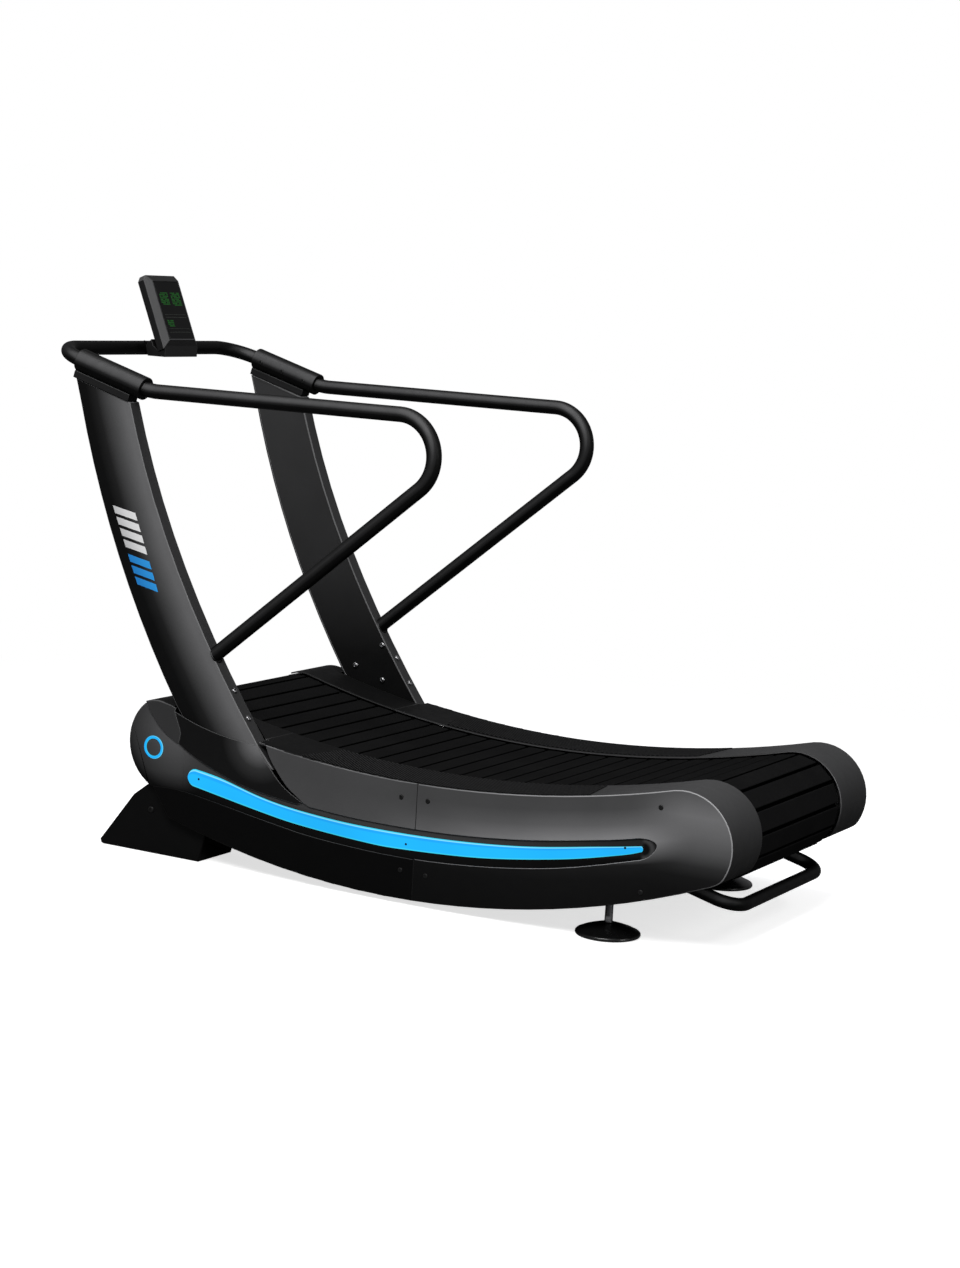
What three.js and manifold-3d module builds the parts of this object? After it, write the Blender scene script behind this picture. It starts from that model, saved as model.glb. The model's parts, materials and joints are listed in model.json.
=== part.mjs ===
// Curved manual treadmill. Millimetres, +Z up, +X towards the rear, -Y is the runner's left side.
// The origin is the middle of the footprint, on the floor.
import * as THREE from 'three';
import Module from 'manifold-3d';
import { mergeVertices } from 'three/addons/utils/BufferGeometryUtils.js';

const wasm = await Module();
wasm.setup();

// ---- driving dimensions -------------------------------------------------------------------
const GAP = 0.3;                                   // clearance between pieces that touch
const SIDES = [{ name: 'left', sign: -1 }, { name: 'right', sign: 1 }];

// The belt loop, as outer surface circles on the two axles and the lowest points of its runs.
const REAR = { x: 883, z: 268, r: 122 };
const FRONT = { x: -608, z: 316, r: 87 };
const RUN_LOW = 300;
const RETURN_LOW = 62;
const SLAT_COUNT = 62;
const SLAT_THICKNESS = 20;
const SLAT_SEAM = 5;
const SLAT_SEAM_DEPTH = 9;
const BELT_HALF_WIDTH = 246;
const DRIVE_BELT_THICKNESS = 8;
const DRIVE_BELT = [195, 235];                     // distance of its two edges from the middle
const AXLE_RADIUS = 12.5;
const AXLE_END = 300;

// The frame.
const BEAM = [256, 296];
const BEAM_TOP_DROP = 10;                          // below the running surface
const BEAM_BOTTOM_DROP = 150;
const BEAM_ENDS = [-540, 790];
const BEAM_WALL = 6;
const BEARING_RAIL_DROP = 78;
const CROSS_MEMBERS = { front: -330, middle: 165, rear: 560 };
const CROSS_SIZE = 50;

// The covers.
const COVER_INNER = 252;
const COVER_OUTER = 425;
const COVER_WALL = 4;
const RAIL_RISE = 6;                               // foot rail above the running surface
const SEAM_X = 175;                                // joint between front and rear covers
const PANEL_OUTER = 420.7;                         // light channel and front cap, set back
const BELLY = { x: 100, low: 13, r: 2300 };

// The uprights and rails.
const UPRIGHT = [380, 420.5];
const UPRIGHT_WALL = 4;
const UPRIGHT_BOTTOM = 278;
const RAIL_Y = 404.5;
const RAIL_RADIUS = 19;
const RAIL_LEVEL = 1193;
const RAIL_BEND = { x: 58, r: 100 };
const SLEEVE_RADIUS = 30;
const SLEEVE_REAR = new THREE.Vector2(-697, 1197);
const SLEEVE_LENGTH = 215;
const SLEEVE_SLOPE = THREE.MathUtils.degToRad(16);
const SADDLE_DROP = 45;
const CROSSBAR_X = -992;
const CROSSBAR_BEND = 90;

// The console.
const CONSOLE = { width: 158, length: 208, depth: 46, tilt: 22.8, x: -910, z: 1387 };
const CONSOLE_CHAMFER = { depth: 13, width: 20, corner: 14 };
const LENS = { width: 112, length: 162, thickness: 3 };
const BRACKET = { width: 148, low: 1264, front: -946, rear: -880 };

// The floor contacts.
const FOOT = { x: 668, y: 335, radius: 79, stem: 10 };
const STAND = [250, 400];
const WHEEL = { x: -742, z: 40, y: 325, r: 34, width: 34, pin: 6 };
const HANDLE = { x: 965, y: 268, z: 103, r: 16, bend: 60 };

const COLOURS = {
  slat: [0x101010, 0.75, 0.0],
  drive: [0x0b0b0b, 0.9, 0.0],
  steel: [0x9a9c9e, 0.35, 1.0],
  cast: [0x3a3c3e, 0.6, 0.6],
  powder: [0x17181a, 0.5, 0.2],
  cover: [0x4c4d4f, 0.55, 0.0],
  gloss: [0x0d0e10, 0.25, 0.0],
  light: [0x1eaaff, 0.3, 0.0],
  grip: [0x1a1a1b, 0.95, 0.0],
  glass: [0x050607, 0.08, 0.0],
  rubber: [0x0e0e0e, 0.85, 0.0],
};

// ---- building blocks ----------------------------------------------------------------------
const treadmill = new THREE.Group();
treadmill.name = 'curved_manual_treadmill';

function addMesh(name, geometry, colourName) {
  const [color, roughness, metalness] = COLOURS[colourName];
  const material = new THREE.MeshStandardMaterial({ color, roughness, metalness });
  const mesh = new THREE.Mesh(geometry, material);
  mesh.name = name;
  treadmill.add(mesh);
}

function point(x, z) {
  return new THREE.Vector2(x, z);
}

// An outline in X and Z, pushed out along Y between two distances.
function extrudeY(outline, y0, y1) {
  const depth = Math.abs(y1 - y0);
  const geometry = new THREE.ExtrudeGeometry(new THREE.Shape(outline), { depth, bevelEnabled: false });
  geometry.rotateX(Math.PI / 2);
  geometry.translate(0, Math.max(y0, y1), 0);
  return geometry;
}

// The same, on one side of the machine, with distances from its middle.
function slab(outline, sign, inner, outer) {
  return extrudeY(outline, sign * inner, sign * outer);
}

function block(x0, x1, y0, y1, z0, z1) {
  const geometry = new THREE.BoxGeometry(Math.abs(x1 - x0), Math.abs(y1 - y0), Math.abs(z1 - z0));
  geometry.translate((x0 + x1) / 2, (y0 + y1) / 2, (z0 + z1) / 2);
  return geometry;
}

// A cylinder along Y.
function drum(x, z, radius, y0, y1, segments = 24) {
  const geometry = new THREE.CylinderGeometry(radius, radius, Math.abs(y1 - y0), segments);
  geometry.translate(x, (y0 + y1) / 2, z);
  return geometry;
}

function toSolid(geometry) {
  const bare = geometry.clone();
  bare.deleteAttribute('normal');
  bare.deleteAttribute('uv');
  const merged = mergeVertices(bare, 1e-3);
  return new wasm.Manifold(new wasm.Mesh({
    numProp: 3,
    vertProperties: new Float32Array(merged.attributes.position.array),
    triVerts: new Uint32Array(merged.index.array),
  }));
}

function fromSolid(solid) {
  const mesh = solid.getMesh();
  const geometry = new THREE.BufferGeometry();
  geometry.setAttribute('position', new THREE.BufferAttribute(mesh.vertProperties, 3));
  geometry.setIndex(new THREE.BufferAttribute(mesh.triVerts, 1));
  geometry.computeVertexNormals();
  return geometry;
}

function union(...pieces) {
  return fromSolid(pieces.map(toSolid).reduce((sum, piece) => sum.add(piece)));
}

function cut(base, ...tools) {
  return fromSolid(tools.map(toSolid).reduce((rest, tool) => rest.subtract(tool), toSolid(base)));
}

function common(a, b) {
  return fromSolid(toSolid(a).intersect(toSolid(b)));
}

// Points along a circle, in degrees, from one angle to another.
function arc(x, z, r, from, to, steps) {
  const points = [];
  for (let i = 0; i <= steps; i += 1) {
    const angle = THREE.MathUtils.degToRad(from + ((to - from) * i) / steps);
    points.push(point(x + r * Math.cos(angle), z + r * Math.sin(angle)));
  }
  return points;
}

// Points along a shallow bowl between two values of x.
function bowl({ x, low, r }, from, to, steps) {
  const points = [];
  for (let i = 0; i <= steps; i += 1) {
    const px = from + ((to - from) * i) / steps;
    points.push(point(px, low + r - Math.sqrt(r * r - (px - x) ** 2)));
  }
  return points;
}

// A smooth line through a few points.
function spline(coordinates, steps) {
  return new THREE.SplineCurve(coordinates.map(([x, z]) => point(x, z))).getPoints(steps);
}

function bezier(start, control, end, steps) {
  return new THREE.QuadraticBezierCurve(start, control, end).getPoints(steps);
}

// A curve that keeps exactly the points it is given, so that straight stretches cost one step.
class Route extends THREE.Curve {
  constructor(points) {
    super();
    this.points = points;
  }

  getPoint(t, target = new THREE.Vector3()) {
    const position = Math.min(t, 1) * (this.points.length - 1);
    const index = Math.min(Math.floor(position), this.points.length - 2);
    return target.lerpVectors(this.points[index], this.points[index + 1], position - index);
  }

  getUtoTmapping(u) {
    return u;
  }
}

// Rounds the inner corners of a line of straight stretches.
function rounded(corners, radius, steps) {
  const points = [corners[0]];
  for (let i = 1; i < corners.length - 1; i += 1) {
    const corner = corners[i];
    const back = corners[i - 1].clone().sub(corner).normalize();
    const ahead = corners[i + 1].clone().sub(corner).normalize();
    const half = Math.acos(THREE.MathUtils.clamp(back.dot(ahead), -1, 1)) / 2;
    const inward = back.clone().add(ahead).normalize();
    const centre = corner.clone().add(inward.multiplyScalar(radius / Math.sin(half)));
    const start = corner.clone().add(back.clone().multiplyScalar(radius / Math.tan(half))).sub(centre);
    const end = corner.clone().add(ahead.clone().multiplyScalar(radius / Math.tan(half))).sub(centre);
    const sweep = Math.PI - 2 * half;
    for (let k = 0; k <= steps; k += 1) {
      const a = Math.sin(sweep * (1 - k / steps)) / Math.sin(sweep);
      const b = Math.sin((sweep * k) / steps) / Math.sin(sweep);
      points.push(centre.clone().add(start.clone().multiplyScalar(a)).add(end.clone().multiplyScalar(b)));
    }
  }
  points.push(corners[corners.length - 1]);
  return points;
}

function tube(points, radius, sides = 14) {
  const section = new THREE.Shape(arc(0, 0, radius, 0, 360 - 360 / sides, sides - 1));
  return new THREE.ExtrudeGeometry(section, {
    steps: points.length - 1,
    extrudePath: new Route(points),
    bevelEnabled: false,
  });
}

function lathe(profile, segments) {
  return new THREE.LatheGeometry(profile.map(([r, h]) => new THREE.Vector2(r, h)), segments);
}

// ---- the belt loop ------------------------------------------------------------------------
// One run of the belt: the arc that touches both axle circles, on top (1) or below (-1), and
// whose lowest point is given.
function tangentRun(side, low) {
  const rise = (axle) => axle.z + side * axle.r - low;
  const offset = (axle) => axle.z - side * axle.r - low;
  const [uF, uR] = [rise(FRONT), rise(REAR)];
  const a = 1 / uF - 1 / uR;
  const b = -2 * (FRONT.x / uF - REAR.x / uR);
  const c = FRONT.x ** 2 / uF - REAR.x ** 2 / uR + offset(FRONT) - offset(REAR);
  const roots = [1, -1].map((sign) => (-b + sign * Math.sqrt(b * b - 4 * a * c)) / (2 * a));
  const x = roots.find((root) => root > FRONT.x && root < REAR.x);
  const r = ((x - FRONT.x) ** 2 / uF + offset(FRONT)) / 2;
  return { x, low, r, z: low + r };
}

const RUN = tangentRun(1, RUN_LOW);
const RETURN = tangentRun(-1, RETURN_LOW);
const RAIL_TOP = { x: RUN.x, low: RUN_LOW + RAIL_RISE, r: RUN.r - RAIL_RISE };

function angleTo(from, to) {
  return Math.atan2(to.z - from.z, to.x - from.x);
}

// The four stretches of the loop, clockwise from the front of the running surface.
const frontTop = angleTo(FRONT, RUN);
const rearTop = angleTo(REAR, RUN);
const rearBottom = angleTo(RETURN, REAR);
const frontBottom = angleTo(RETURN, FRONT);
const STRETCHES = [
  { ...RUN, from: frontTop - Math.PI, to: rearTop - Math.PI, outward: -1 },
  { ...REAR, from: rearTop, to: rearBottom, outward: 1 },
  { ...RETURN, from: rearBottom, to: frontBottom, outward: 1 },
  { ...FRONT, from: frontBottom + 2 * Math.PI, to: frontTop, outward: 1 },
];
const stretchLength = (stretch) => stretch.r * Math.abs(stretch.to - stretch.from);
const LOOP_LENGTH = STRETCHES.reduce((sum, stretch) => sum + stretchLength(stretch), 0);
const SLAT_PITCH = LOOP_LENGTH / SLAT_COUNT;

// A point of the loop at a distance along it, moved outward by an offset.
function loopPoint(distance, offset) {
  let rest = ((distance % LOOP_LENGTH) + LOOP_LENGTH) % LOOP_LENGTH;
  let stretch = STRETCHES[0];
  for (const candidate of STRETCHES) {
    stretch = candidate;
    if (rest <= stretchLength(candidate)) break;
    rest -= stretchLength(candidate);
  }
  const turn = stretch.from + (stretch.to - stretch.from) * Math.min(rest / stretchLength(stretch), 1);
  const radius = stretch.r + stretch.outward * offset;
  return point(stretch.x + radius * Math.cos(turn), stretch.z + radius * Math.sin(turn));
}

// A closed line at one offset, with a corner at every seam.
function seamLine(offset) {
  return Array.from({ length: SLAT_COUNT }, (_, i) => loopPoint(i * SLAT_PITCH, offset));
}

// The same, with a corner at both ends of every slat.
function slatLine(offset) {
  const points = [];
  for (let i = 0; i < SLAT_COUNT; i += 1) {
    points.push(loopPoint(i * SLAT_PITCH + SLAT_SEAM / 2, offset));
    points.push(loopPoint((i + 1) * SLAT_PITCH - SLAT_SEAM / 2, offset));
  }
  return points;
}

function ring(outer, inner, y0, y1) {
  return cut(extrudeY(outer, y0, y1), extrudeY(inner, y0 - 5, y1 + 5));
}

function slatBelt() {
  const outer = [];
  for (let i = 0; i < SLAT_COUNT; i += 1) {
    const start = i * SLAT_PITCH + SLAT_SEAM / 2;
    const end = (i + 1) * SLAT_PITCH - SLAT_SEAM / 2;
    outer.push(loopPoint(start, -SLAT_SEAM_DEPTH));
    outer.push(loopPoint(start, 0));
    outer.push(loopPoint(end, 0));
    outer.push(loopPoint(end, -SLAT_SEAM_DEPTH));
  }
  return ring(outer, slatLine(-SLAT_THICKNESS), -BELT_HALF_WIDTH, BELT_HALF_WIDTH);
}

function driveBelt(sign) {
  const outside = -SLAT_THICKNESS - GAP;
  const [near, far] = DRIVE_BELT.map((y) => sign * y).sort((a, b) => a - b);
  return ring(seamLine(outside), seamLine(outside - DRIVE_BELT_THICKNESS), near, far);
}

function pulleyRadius(axle) {
  const inside = axle.r - SLAT_THICKNESS - GAP - DRIVE_BELT_THICKNESS;
  return inside * Math.cos(SLAT_PITCH / (2 * axle.r)) - GAP;
}

// A pulley with a rim, a thinner web and a hub, bored for its axle.
function pulley(axle, sign) {
  const rim = pulleyRadius(axle);
  const half = (DRIVE_BELT[1] - DRIVE_BELT[0]) / 2;
  const bore = AXLE_RADIUS + GAP;
  const profile = [
    [bore, -half], [bore + 10, -half], [bore + 10, -half / 3], [rim - 8, -half / 3], [rim - 8, -half],
    [rim, -half], [rim, half], [rim - 8, half], [rim - 8, half / 3], [bore + 10, half / 3],
    [bore + 10, half], [bore, half], [bore, -half],
  ];
  const geometry = lathe(profile, 18);
  geometry.translate(axle.x, sign * (DRIVE_BELT[0] + half), axle.z);
  return geometry;
}

// ---- the frame ----------------------------------------------------------------------------
function dropped(drop) {
  return { x: RUN.x, low: RUN_LOW - drop, r: RUN.r + drop };
}

// A flanged block bearing, bolted to the end of its beam.
function axleBearing(axle, beamEnd, sign) {
  const towardsBeam = Math.sign(beamEnd - axle.x);
  const face = beamEnd - towardsBeam * GAP;
  const nose = towardsBeam > 0 ? arc(axle.x, axle.z, 32, 90, 270, 8) : arc(axle.x, axle.z, 32, -90, 90, 8);
  const square = [point(face, nose[8].y), point(face, nose[0].y)];
  const body = slab([...nose, ...square], sign, BEAM[0], BEAM[1] - 4);
  return cut(body, drum(axle.x, axle.z, AXLE_RADIUS + GAP, sign * (BEAM[0] - 5), sign * (BEAM[1] + 5)));
}

const UPRIGHT_STUB = { x0: -420, x1: -300, z0: 283, z1: 322 };
const FOOT_STUB = { x0: FOOT.x - 28, x1: FOOT.x + 28, z0: 150, z1: 230, outer: 365 };
const STAND_TOP = 200;

// The open side of the channel that the side member is pressed into.
function beamHollow() {
  const [front, rear] = [BEAM_ENDS[0] + BEAM_WALL, BEAM_ENDS[1] - BEAM_WALL];
  return [
    ...bowl(dropped(BEAM_TOP_DROP + BEAM_WALL), front, rear, 14),
    ...bowl(dropped(BEAM_BOTTOM_DROP - BEAM_WALL), rear, front, 14),
  ];
}

// The curved side member, with its welded stubs for the upright, the rear foot and the stand.
function sideBeam(sign) {
  const top = bowl(dropped(BEAM_TOP_DROP), BEAM_ENDS[0], BEAM_ENDS[1], 14);
  const bottom = bowl(dropped(BEAM_BOTTOM_DROP), BEAM_ENDS[1], BEAM_ENDS[0], 14);
  const beam = cut(
    slab([...top, ...bottom], sign, BEAM[0], BEAM[1]),
    slab(beamHollow(), sign, BEAM[0] + BEAM_WALL, BEAM[1] + 5),
  );
  const uprightStub = block(UPRIGHT_STUB.x0, UPRIGHT_STUB.x1, sign * (BEAM[0] + 1), sign * (UPRIGHT[0] + 0.7),
    UPRIGHT_STUB.z0, UPRIGHT_STUB.z1);
  const footStub = block(FOOT_STUB.x0, FOOT_STUB.x1, sign * COVER_INNER, sign * FOOT_STUB.outer,
    FOOT_STUB.z0, FOOT_STUB.z1);
  const standPad = block(-530, -455, sign * BEAM[0], sign * BEAM[1], STAND_TOP + GAP, 250);
  const hole = new THREE.CylinderGeometry(FOOT.stem + GAP, FOOT.stem + GAP, 120, 20);
  hole.rotateX(Math.PI / 2);
  hole.translate(FOOT.x, sign * FOOT.y, (FOOT_STUB.z0 + FOOT_STUB.z1) / 2);
  return cut(union(beam, uprightStub, footStub, standPad), hole);
}

function crossMember(x) {
  const top = RUN_LOW + (x - RUN.x) ** 2 / (2 * RUN.r) - BEARING_RAIL_DROP - 6;
  const half = CROSS_SIZE / 2;
  const end = BEAM[0] - GAP;
  const outside = block(x - half, x + half, -end, end, top - CROSS_SIZE, top);
  const inside = block(x - half + 3, x + half - 3, -end - 1, end + 1, top - CROSS_SIZE + 3, top - 3);
  return cut(outside, inside);
}

// The curved rail under one edge of the running surface, with its row of ball bearings and a
// leg down to each cross member.
function bearingRail(sign) {
  const ends = [-500, 770];
  const top = bowl(dropped(30), ends[0], ends[1], 14);
  const bottom = bowl(dropped(BEARING_RAIL_DROP), ends[1], ends[0], 14);
  const plate = slab([...top, ...bottom], sign, 150, 156);
  const radius = 13;
  const count = 13;
  const pieces = [plate];
  for (let i = 0; i < count; i += 1) {
    const x = ends[0] + 25 + (i * (ends[1] - ends[0] - 50)) / (count - 1);
    const z = RUN_LOW + RUN.r - Math.sqrt((RUN.r + SLAT_THICKNESS + 1 + radius) ** 2 - (x - RUN.x) ** 2);
    pieces.push(drum(x, z, radius, sign * 155, sign * 168, 8));
  }
  for (const x of Object.values(CROSS_MEMBERS)) {
    const foot = RUN_LOW + (x - RUN.x) ** 2 / (2 * RUN.r) - BEARING_RAIL_DROP - 6 + GAP;
    pieces.push(block(x - 20, x + 20, sign * 150, sign * 156, foot, foot + 20));
    pieces.push(block(x - 20, x + 20, sign * 150, sign * 176, foot, foot + 5));
  }
  return union(...pieces);
}

// ---- the covers ---------------------------------------------------------------------------
// Edges that several covers share, from front to rear.
const CREASE = [[-610, 184], [-525, 185], [-400, 168], [-246, 144], [-96, 126], [136, 118], [360, 131],
  [575, 163], [781, 216]];
const CHANNEL_TOP = [[-157, 203], [17, 193], [245, 195], [464, 213], [675, 246], [777, 267]];
const SHROUD_LOWER = [[-645, 398], [-596, 339], [-538, 304], [-454, 264], [-342, 227], [-220, 208],
  [-157, 202]];
const SHROUD_FRONT = [[-551, 386], [-541, 362], [-530, 332], [-536, 305]];
const SHROUD_REAR = [[-154, 209], [-191, 228], [-222, 249], [-254, 282], [-280, 310], [-295, 335]];
const COVER_FRONT = [[-153, 209], [-171, 221], [-202, 242], [-233, 275], [-259, 310], [-271, 338]];
const LIGHT_TOP = [[-482, 246], [-405, 234], [-281, 204], [-160, 187], [17, 177], [245, 180], [464, 197],
  [675, 230], [777, 249]];
const LIGHT_BOTTOM = [[-482, 200], [-279, 166], [-158, 150], [19, 138], [134, 137], [358, 151], [573, 183],
  [728, 218], [769, 230]];
const SLOT_NOSE = [[777, 267], [803, 267], [820, 259], [818, 245], [801, 226], [781, 216]];
const FRONT_CAP = { x: -567, z: 298, r: 127 };

// The strip of the foot rail between two places, from one loop offset to another.
function railStrip(from, to, high, low, steps) {
  const top = bowl({ x: RUN.x, low: RUN_LOW + high, r: RUN.r - high }, from, to, steps);
  const bottom = bowl({ x: RUN.x, low: RUN_LOW + low, r: RUN.r - low }, to, from, steps);
  return [...top, ...bottom];
}

// The rear cover: foot rail, outer wall with the slot for the light channel, and the round end.
function rearCover(sign) {
  const start = SEAM_X + GAP / 2;
  const bellyStart = 950;
  const endFrom = THREE.MathUtils.radToDeg(rearTop);
  const endTo = -30;
  const skin = (inset) => {
    const rise = RAIL_RISE - inset;
    const radius = REAR.r + rise;
    const belly = bowl({ x: BELLY.x, low: BELLY.low + inset, r: BELLY.r - inset }, bellyStart, start, 12);
    const round = arc(REAR.x, REAR.z, radius, endFrom - 3, endTo, 16);
    const corner = bezier(round[round.length - 1], point(984 - inset, 187 + inset), belly[0], 5);
    return [
      ...bowl({ x: RUN.x, low: RUN_LOW + rise, r: RUN.r - rise }, start, REAR.x - 28, 12),
      ...round,
      ...corner.slice(1, -1),
      ...belly,
    ];
  };
  const slotTop = spline(CHANNEL_TOP, 24).filter((p) => p.x > start - 40);
  const slotBottom = spline(CREASE, 30).filter((p) => p.x > start - 40).reverse();
  const nose = spline(SLOT_NOSE, 15).slice(1, -1);
  const outline = skin(0);
  const shell = cut(
    slab(outline, sign, COVER_INNER, COVER_OUTER),
    slab(skin(COVER_WALL).map((p) => (p.x < start + 1 ? point(p.x - 5, p.y) : p)), sign, COVER_INNER - 5,
      COVER_OUTER - COVER_WALL),
    slab([...slotTop, ...nose, ...slotBottom], sign, COVER_OUTER - 10, COVER_OUTER + 5),
  );
  const handleNotch = block(690, 905, sign * (COVER_INNER - 5), sign * 292, 60, 190);
  const stemHole = new THREE.CylinderGeometry(FOOT.stem + 4, FOOT.stem + 4, 60, 16);
  stemHole.rotateX(Math.PI / 2);
  stemHole.translate(FOOT.x, sign * FOOT.y, 85);
  return cut(shell, handleNotch, stemHole);
}

// The front upper cover: foot rail beside the upright and outer wall above the light channel.
function upperCover(sign) {
  const end = SEAM_X - GAP / 2;
  const wallTop = bowl(RAIL_TOP, -271, end, 8);
  const wallBottom = spline(CHANNEL_TOP, 24).filter((p) => p.x > -145 && p.x < end).reverse();
  const corner = point(end, wallBottom[0].y);
  const front = spline(COVER_FRONT, 10).map((p) => point(p.x + 1, p.y));
  const outline = [...wallTop, corner, ...wallBottom, ...front];
  const wall = slab(outline, sign, COVER_OUTER - COVER_WALL, COVER_OUTER);
  const strip = (from, to, steps, outside) => slab(
    railStrip(from, to, RAIL_RISE, RAIL_RISE - COVER_WALL, steps), sign, COVER_INNER, outside);
  return union(
    wall,
    strip(-268, end, 8, COVER_OUTER - 1),
    strip(-294, -260, 2, COVER_OUTER - COVER_WALL - 1),
    strip(-300, -285, 1, UPRIGHT[0] - 1),
  );
}

// The front lower cover: outer wall below the crease and the flange under the machine.
function lowerCover(sign) {
  const end = SEAM_X - GAP / 2;
  const crease = spline(CREASE, 40).filter((p) => p.x < end);
  const top = [...crease, point(end, crease[crease.length - 1].y)].map((p) => point(p.x, p.y - GAP));
  const bottom = bowl(BELLY, end, -560, 10);
  const wall = slab([...top, ...bottom], sign, COVER_OUTER - COVER_WALL, COVER_OUTER);
  const flangeTop = bowl({ x: BELLY.x, low: BELLY.low + COVER_WALL, r: BELLY.r - COVER_WALL }, -430, end, 8);
  const flange = slab([...flangeTop, ...bowl(BELLY, end, -430, 8)], sign, COVER_INNER, COVER_OUTER - 1);
  return union(wall, flange);
}

// The dark panel behind the light strip, set back from the covers around it.
function lightChannel(sign) {
  const top = [
    point(-520, 300),
    ...spline(SHROUD_LOWER, 20).filter((p) => p.x > -515 && p.x < -165).map((p) => point(p.x, p.y + 6)),
    ...spline(CHANNEL_TOP, 12).map((p) => point(p.x, p.y + 6)),
  ];
  const nose = SLOT_NOSE.slice(1, -1).map(([x, z]) => point(x + 6, z + (z > 250 ? 6 : -5)));
  const bottom = spline(CREASE, 20).filter((p) => p.x > -515).map((p) => point(p.x, p.y - 6)).reverse();
  return slab([...top, ...nose, ...bottom, point(-520, 176)], sign, PANEL_OUTER - COVER_WALL, PANEL_OUTER);
}

function lightStrip(sign) {
  const top = spline(LIGHT_TOP, 14);
  const bottom = spline(LIGHT_BOTTOM, 14).reverse();
  const tip = [point(783, 248), point(786, 241), point(780, 233)];
  const nose = arc(-482, 223, 23, 250, 110, 6);
  return slab([...top, ...tip, ...bottom, ...nose], sign, PANEL_OUTER + GAP, PANEL_OUTER + 2.8);
}

// The front cap: outer face with the ring light's seat, and the skin around the front axle.
function frontCap(sign) {
  const { x, z, r } = FRONT_CAP;
  const line = spline(SHROUD_LOWER, 20).filter((p) => p.x < -525).map((p) => point(p.x, p.y + 4)).reverse();
  const edge = [point(-520.3, 176), point(-520.3, 298)];
  const rim = arc(x, z, r, 130, 236, 14);
  const face = [...edge, ...line.filter((p) => p.y < 396), ...rim, ...arc(x, z, r, 240, 244, 1)];
  const skin = [...rim, ...arc(x, z, r - COVER_WALL, 236, 130, 14)];
  return union(
    slab(face, sign, PANEL_OUTER - COVER_WALL, PANEL_OUTER),
    slab(skin, sign, COVER_INNER, PANEL_OUTER - 1),
  );
}

function ringLight(sign) {
  const centre = { x: -616, z: 284 };
  const [outer, inner] = [30, 22.5];
  const [y0, y1] = [PANEL_OUTER + GAP, PANEL_OUTER + 2.8];
  const profile = [[inner, y0], [outer, y0], [outer, y1], [inner, y1], [inner, y0]];
  const flipped = profile.map(([radius, y]) => [radius, sign * y]);
  const geometry = lathe(sign > 0 ? flipped : flipped.reverse(), 32);
  geometry.translate(centre.x, 0, centre.z);
  return geometry;
}

// The hood over the front axle: top skin with the front ridge, outer wall down to the front cap.
function frontHood(sign) {
  const noseEnd = THREE.MathUtils.radToDeg(frontTop) + 2;
  const skinLine = (offset) => arc(FRONT.x, FRONT.z, FRONT.r + offset, 112, noseEnd, 6);
  const rail = (offset, to) => bowl({ x: RUN.x, low: RUN_LOW + offset, r: RUN.r - offset }, -575, to, 5);
  const strip = (to) => [
    ...skinLine(RAIL_RISE), ...rail(RAIL_RISE, to),
    ...rail(RAIL_RISE - COVER_WALL, to).reverse(), ...skinLine(RAIL_RISE - COVER_WALL).reverse(),
  ];
  const wall = [
    ...skinLine(RAIL_RISE),
    point(-549, 396),
    ...spline(SHROUD_FRONT, 6).map((p) => point(p.x - 1, p.y)),
    ...spline(SHROUD_LOWER, 20).filter((p) => p.x > -640 && p.x < -538).reverse(),
  ];
  return union(
    slab(strip(-560), sign, COVER_INNER, COVER_OUTER - 1),
    slab(strip(-300 - GAP), sign, COVER_INNER, UPRIGHT[0] - 1),
    slab(wall, sign, COVER_OUTER - COVER_WALL, COVER_OUTER),
  );
}

// The shroud over the foot of the upright.
function uprightShroud(sign) {
  const top = bezier(point(-551, 386), point(-440, 340), point(-300, 334), 8);
  const outline = [
    ...top,
    ...spline(SHROUD_REAR, 10).reverse().map((p) => point(p.x - 1, p.y)),
    ...spline(SHROUD_LOWER, 20).filter((p) => p.x > -524 && p.x < -160).reverse(),
    ...spline(SHROUD_FRONT, 6).slice(1).reverse(),
  ];
  return slab(outline, sign, COVER_OUTER - COVER_WALL, COVER_OUTER);
}

// The anti-slip pad, cut at a slant at both ends.
function gripPad(sign) {
  const outline = railStrip(-180, 650, RAIL_RISE + GAP + 1.6, RAIL_RISE + GAP, 16);
  const sheet = slab(outline, sign, COVER_INNER + 10, COVER_OUTER - 10);
  const plan = [[-139, 250], [604, 250], [638, 430], [-171, 430]].map(([x, y]) => point(x, sign * y));
  const prism = new THREE.ExtrudeGeometry(new THREE.Shape(sign > 0 ? plan : plan.reverse()), {
    depth: 400,
    bevelEnabled: false,
  });
  prism.translate(0, 0, 200);
  return common(sheet, prism);
}

function bellyPan() {
  const low = BELLY.low + COVER_WALL + 1;
  const top = bowl({ x: BELLY.x, low: low + 3, r: BELLY.r }, -425, 630, 10);
  const bottom = bowl({ x: BELLY.x, low, r: BELLY.r }, 630, -425, 10);
  return extrudeY([...top, ...bottom], -COVER_INNER - 12, COVER_INNER + 12);
}

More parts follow.
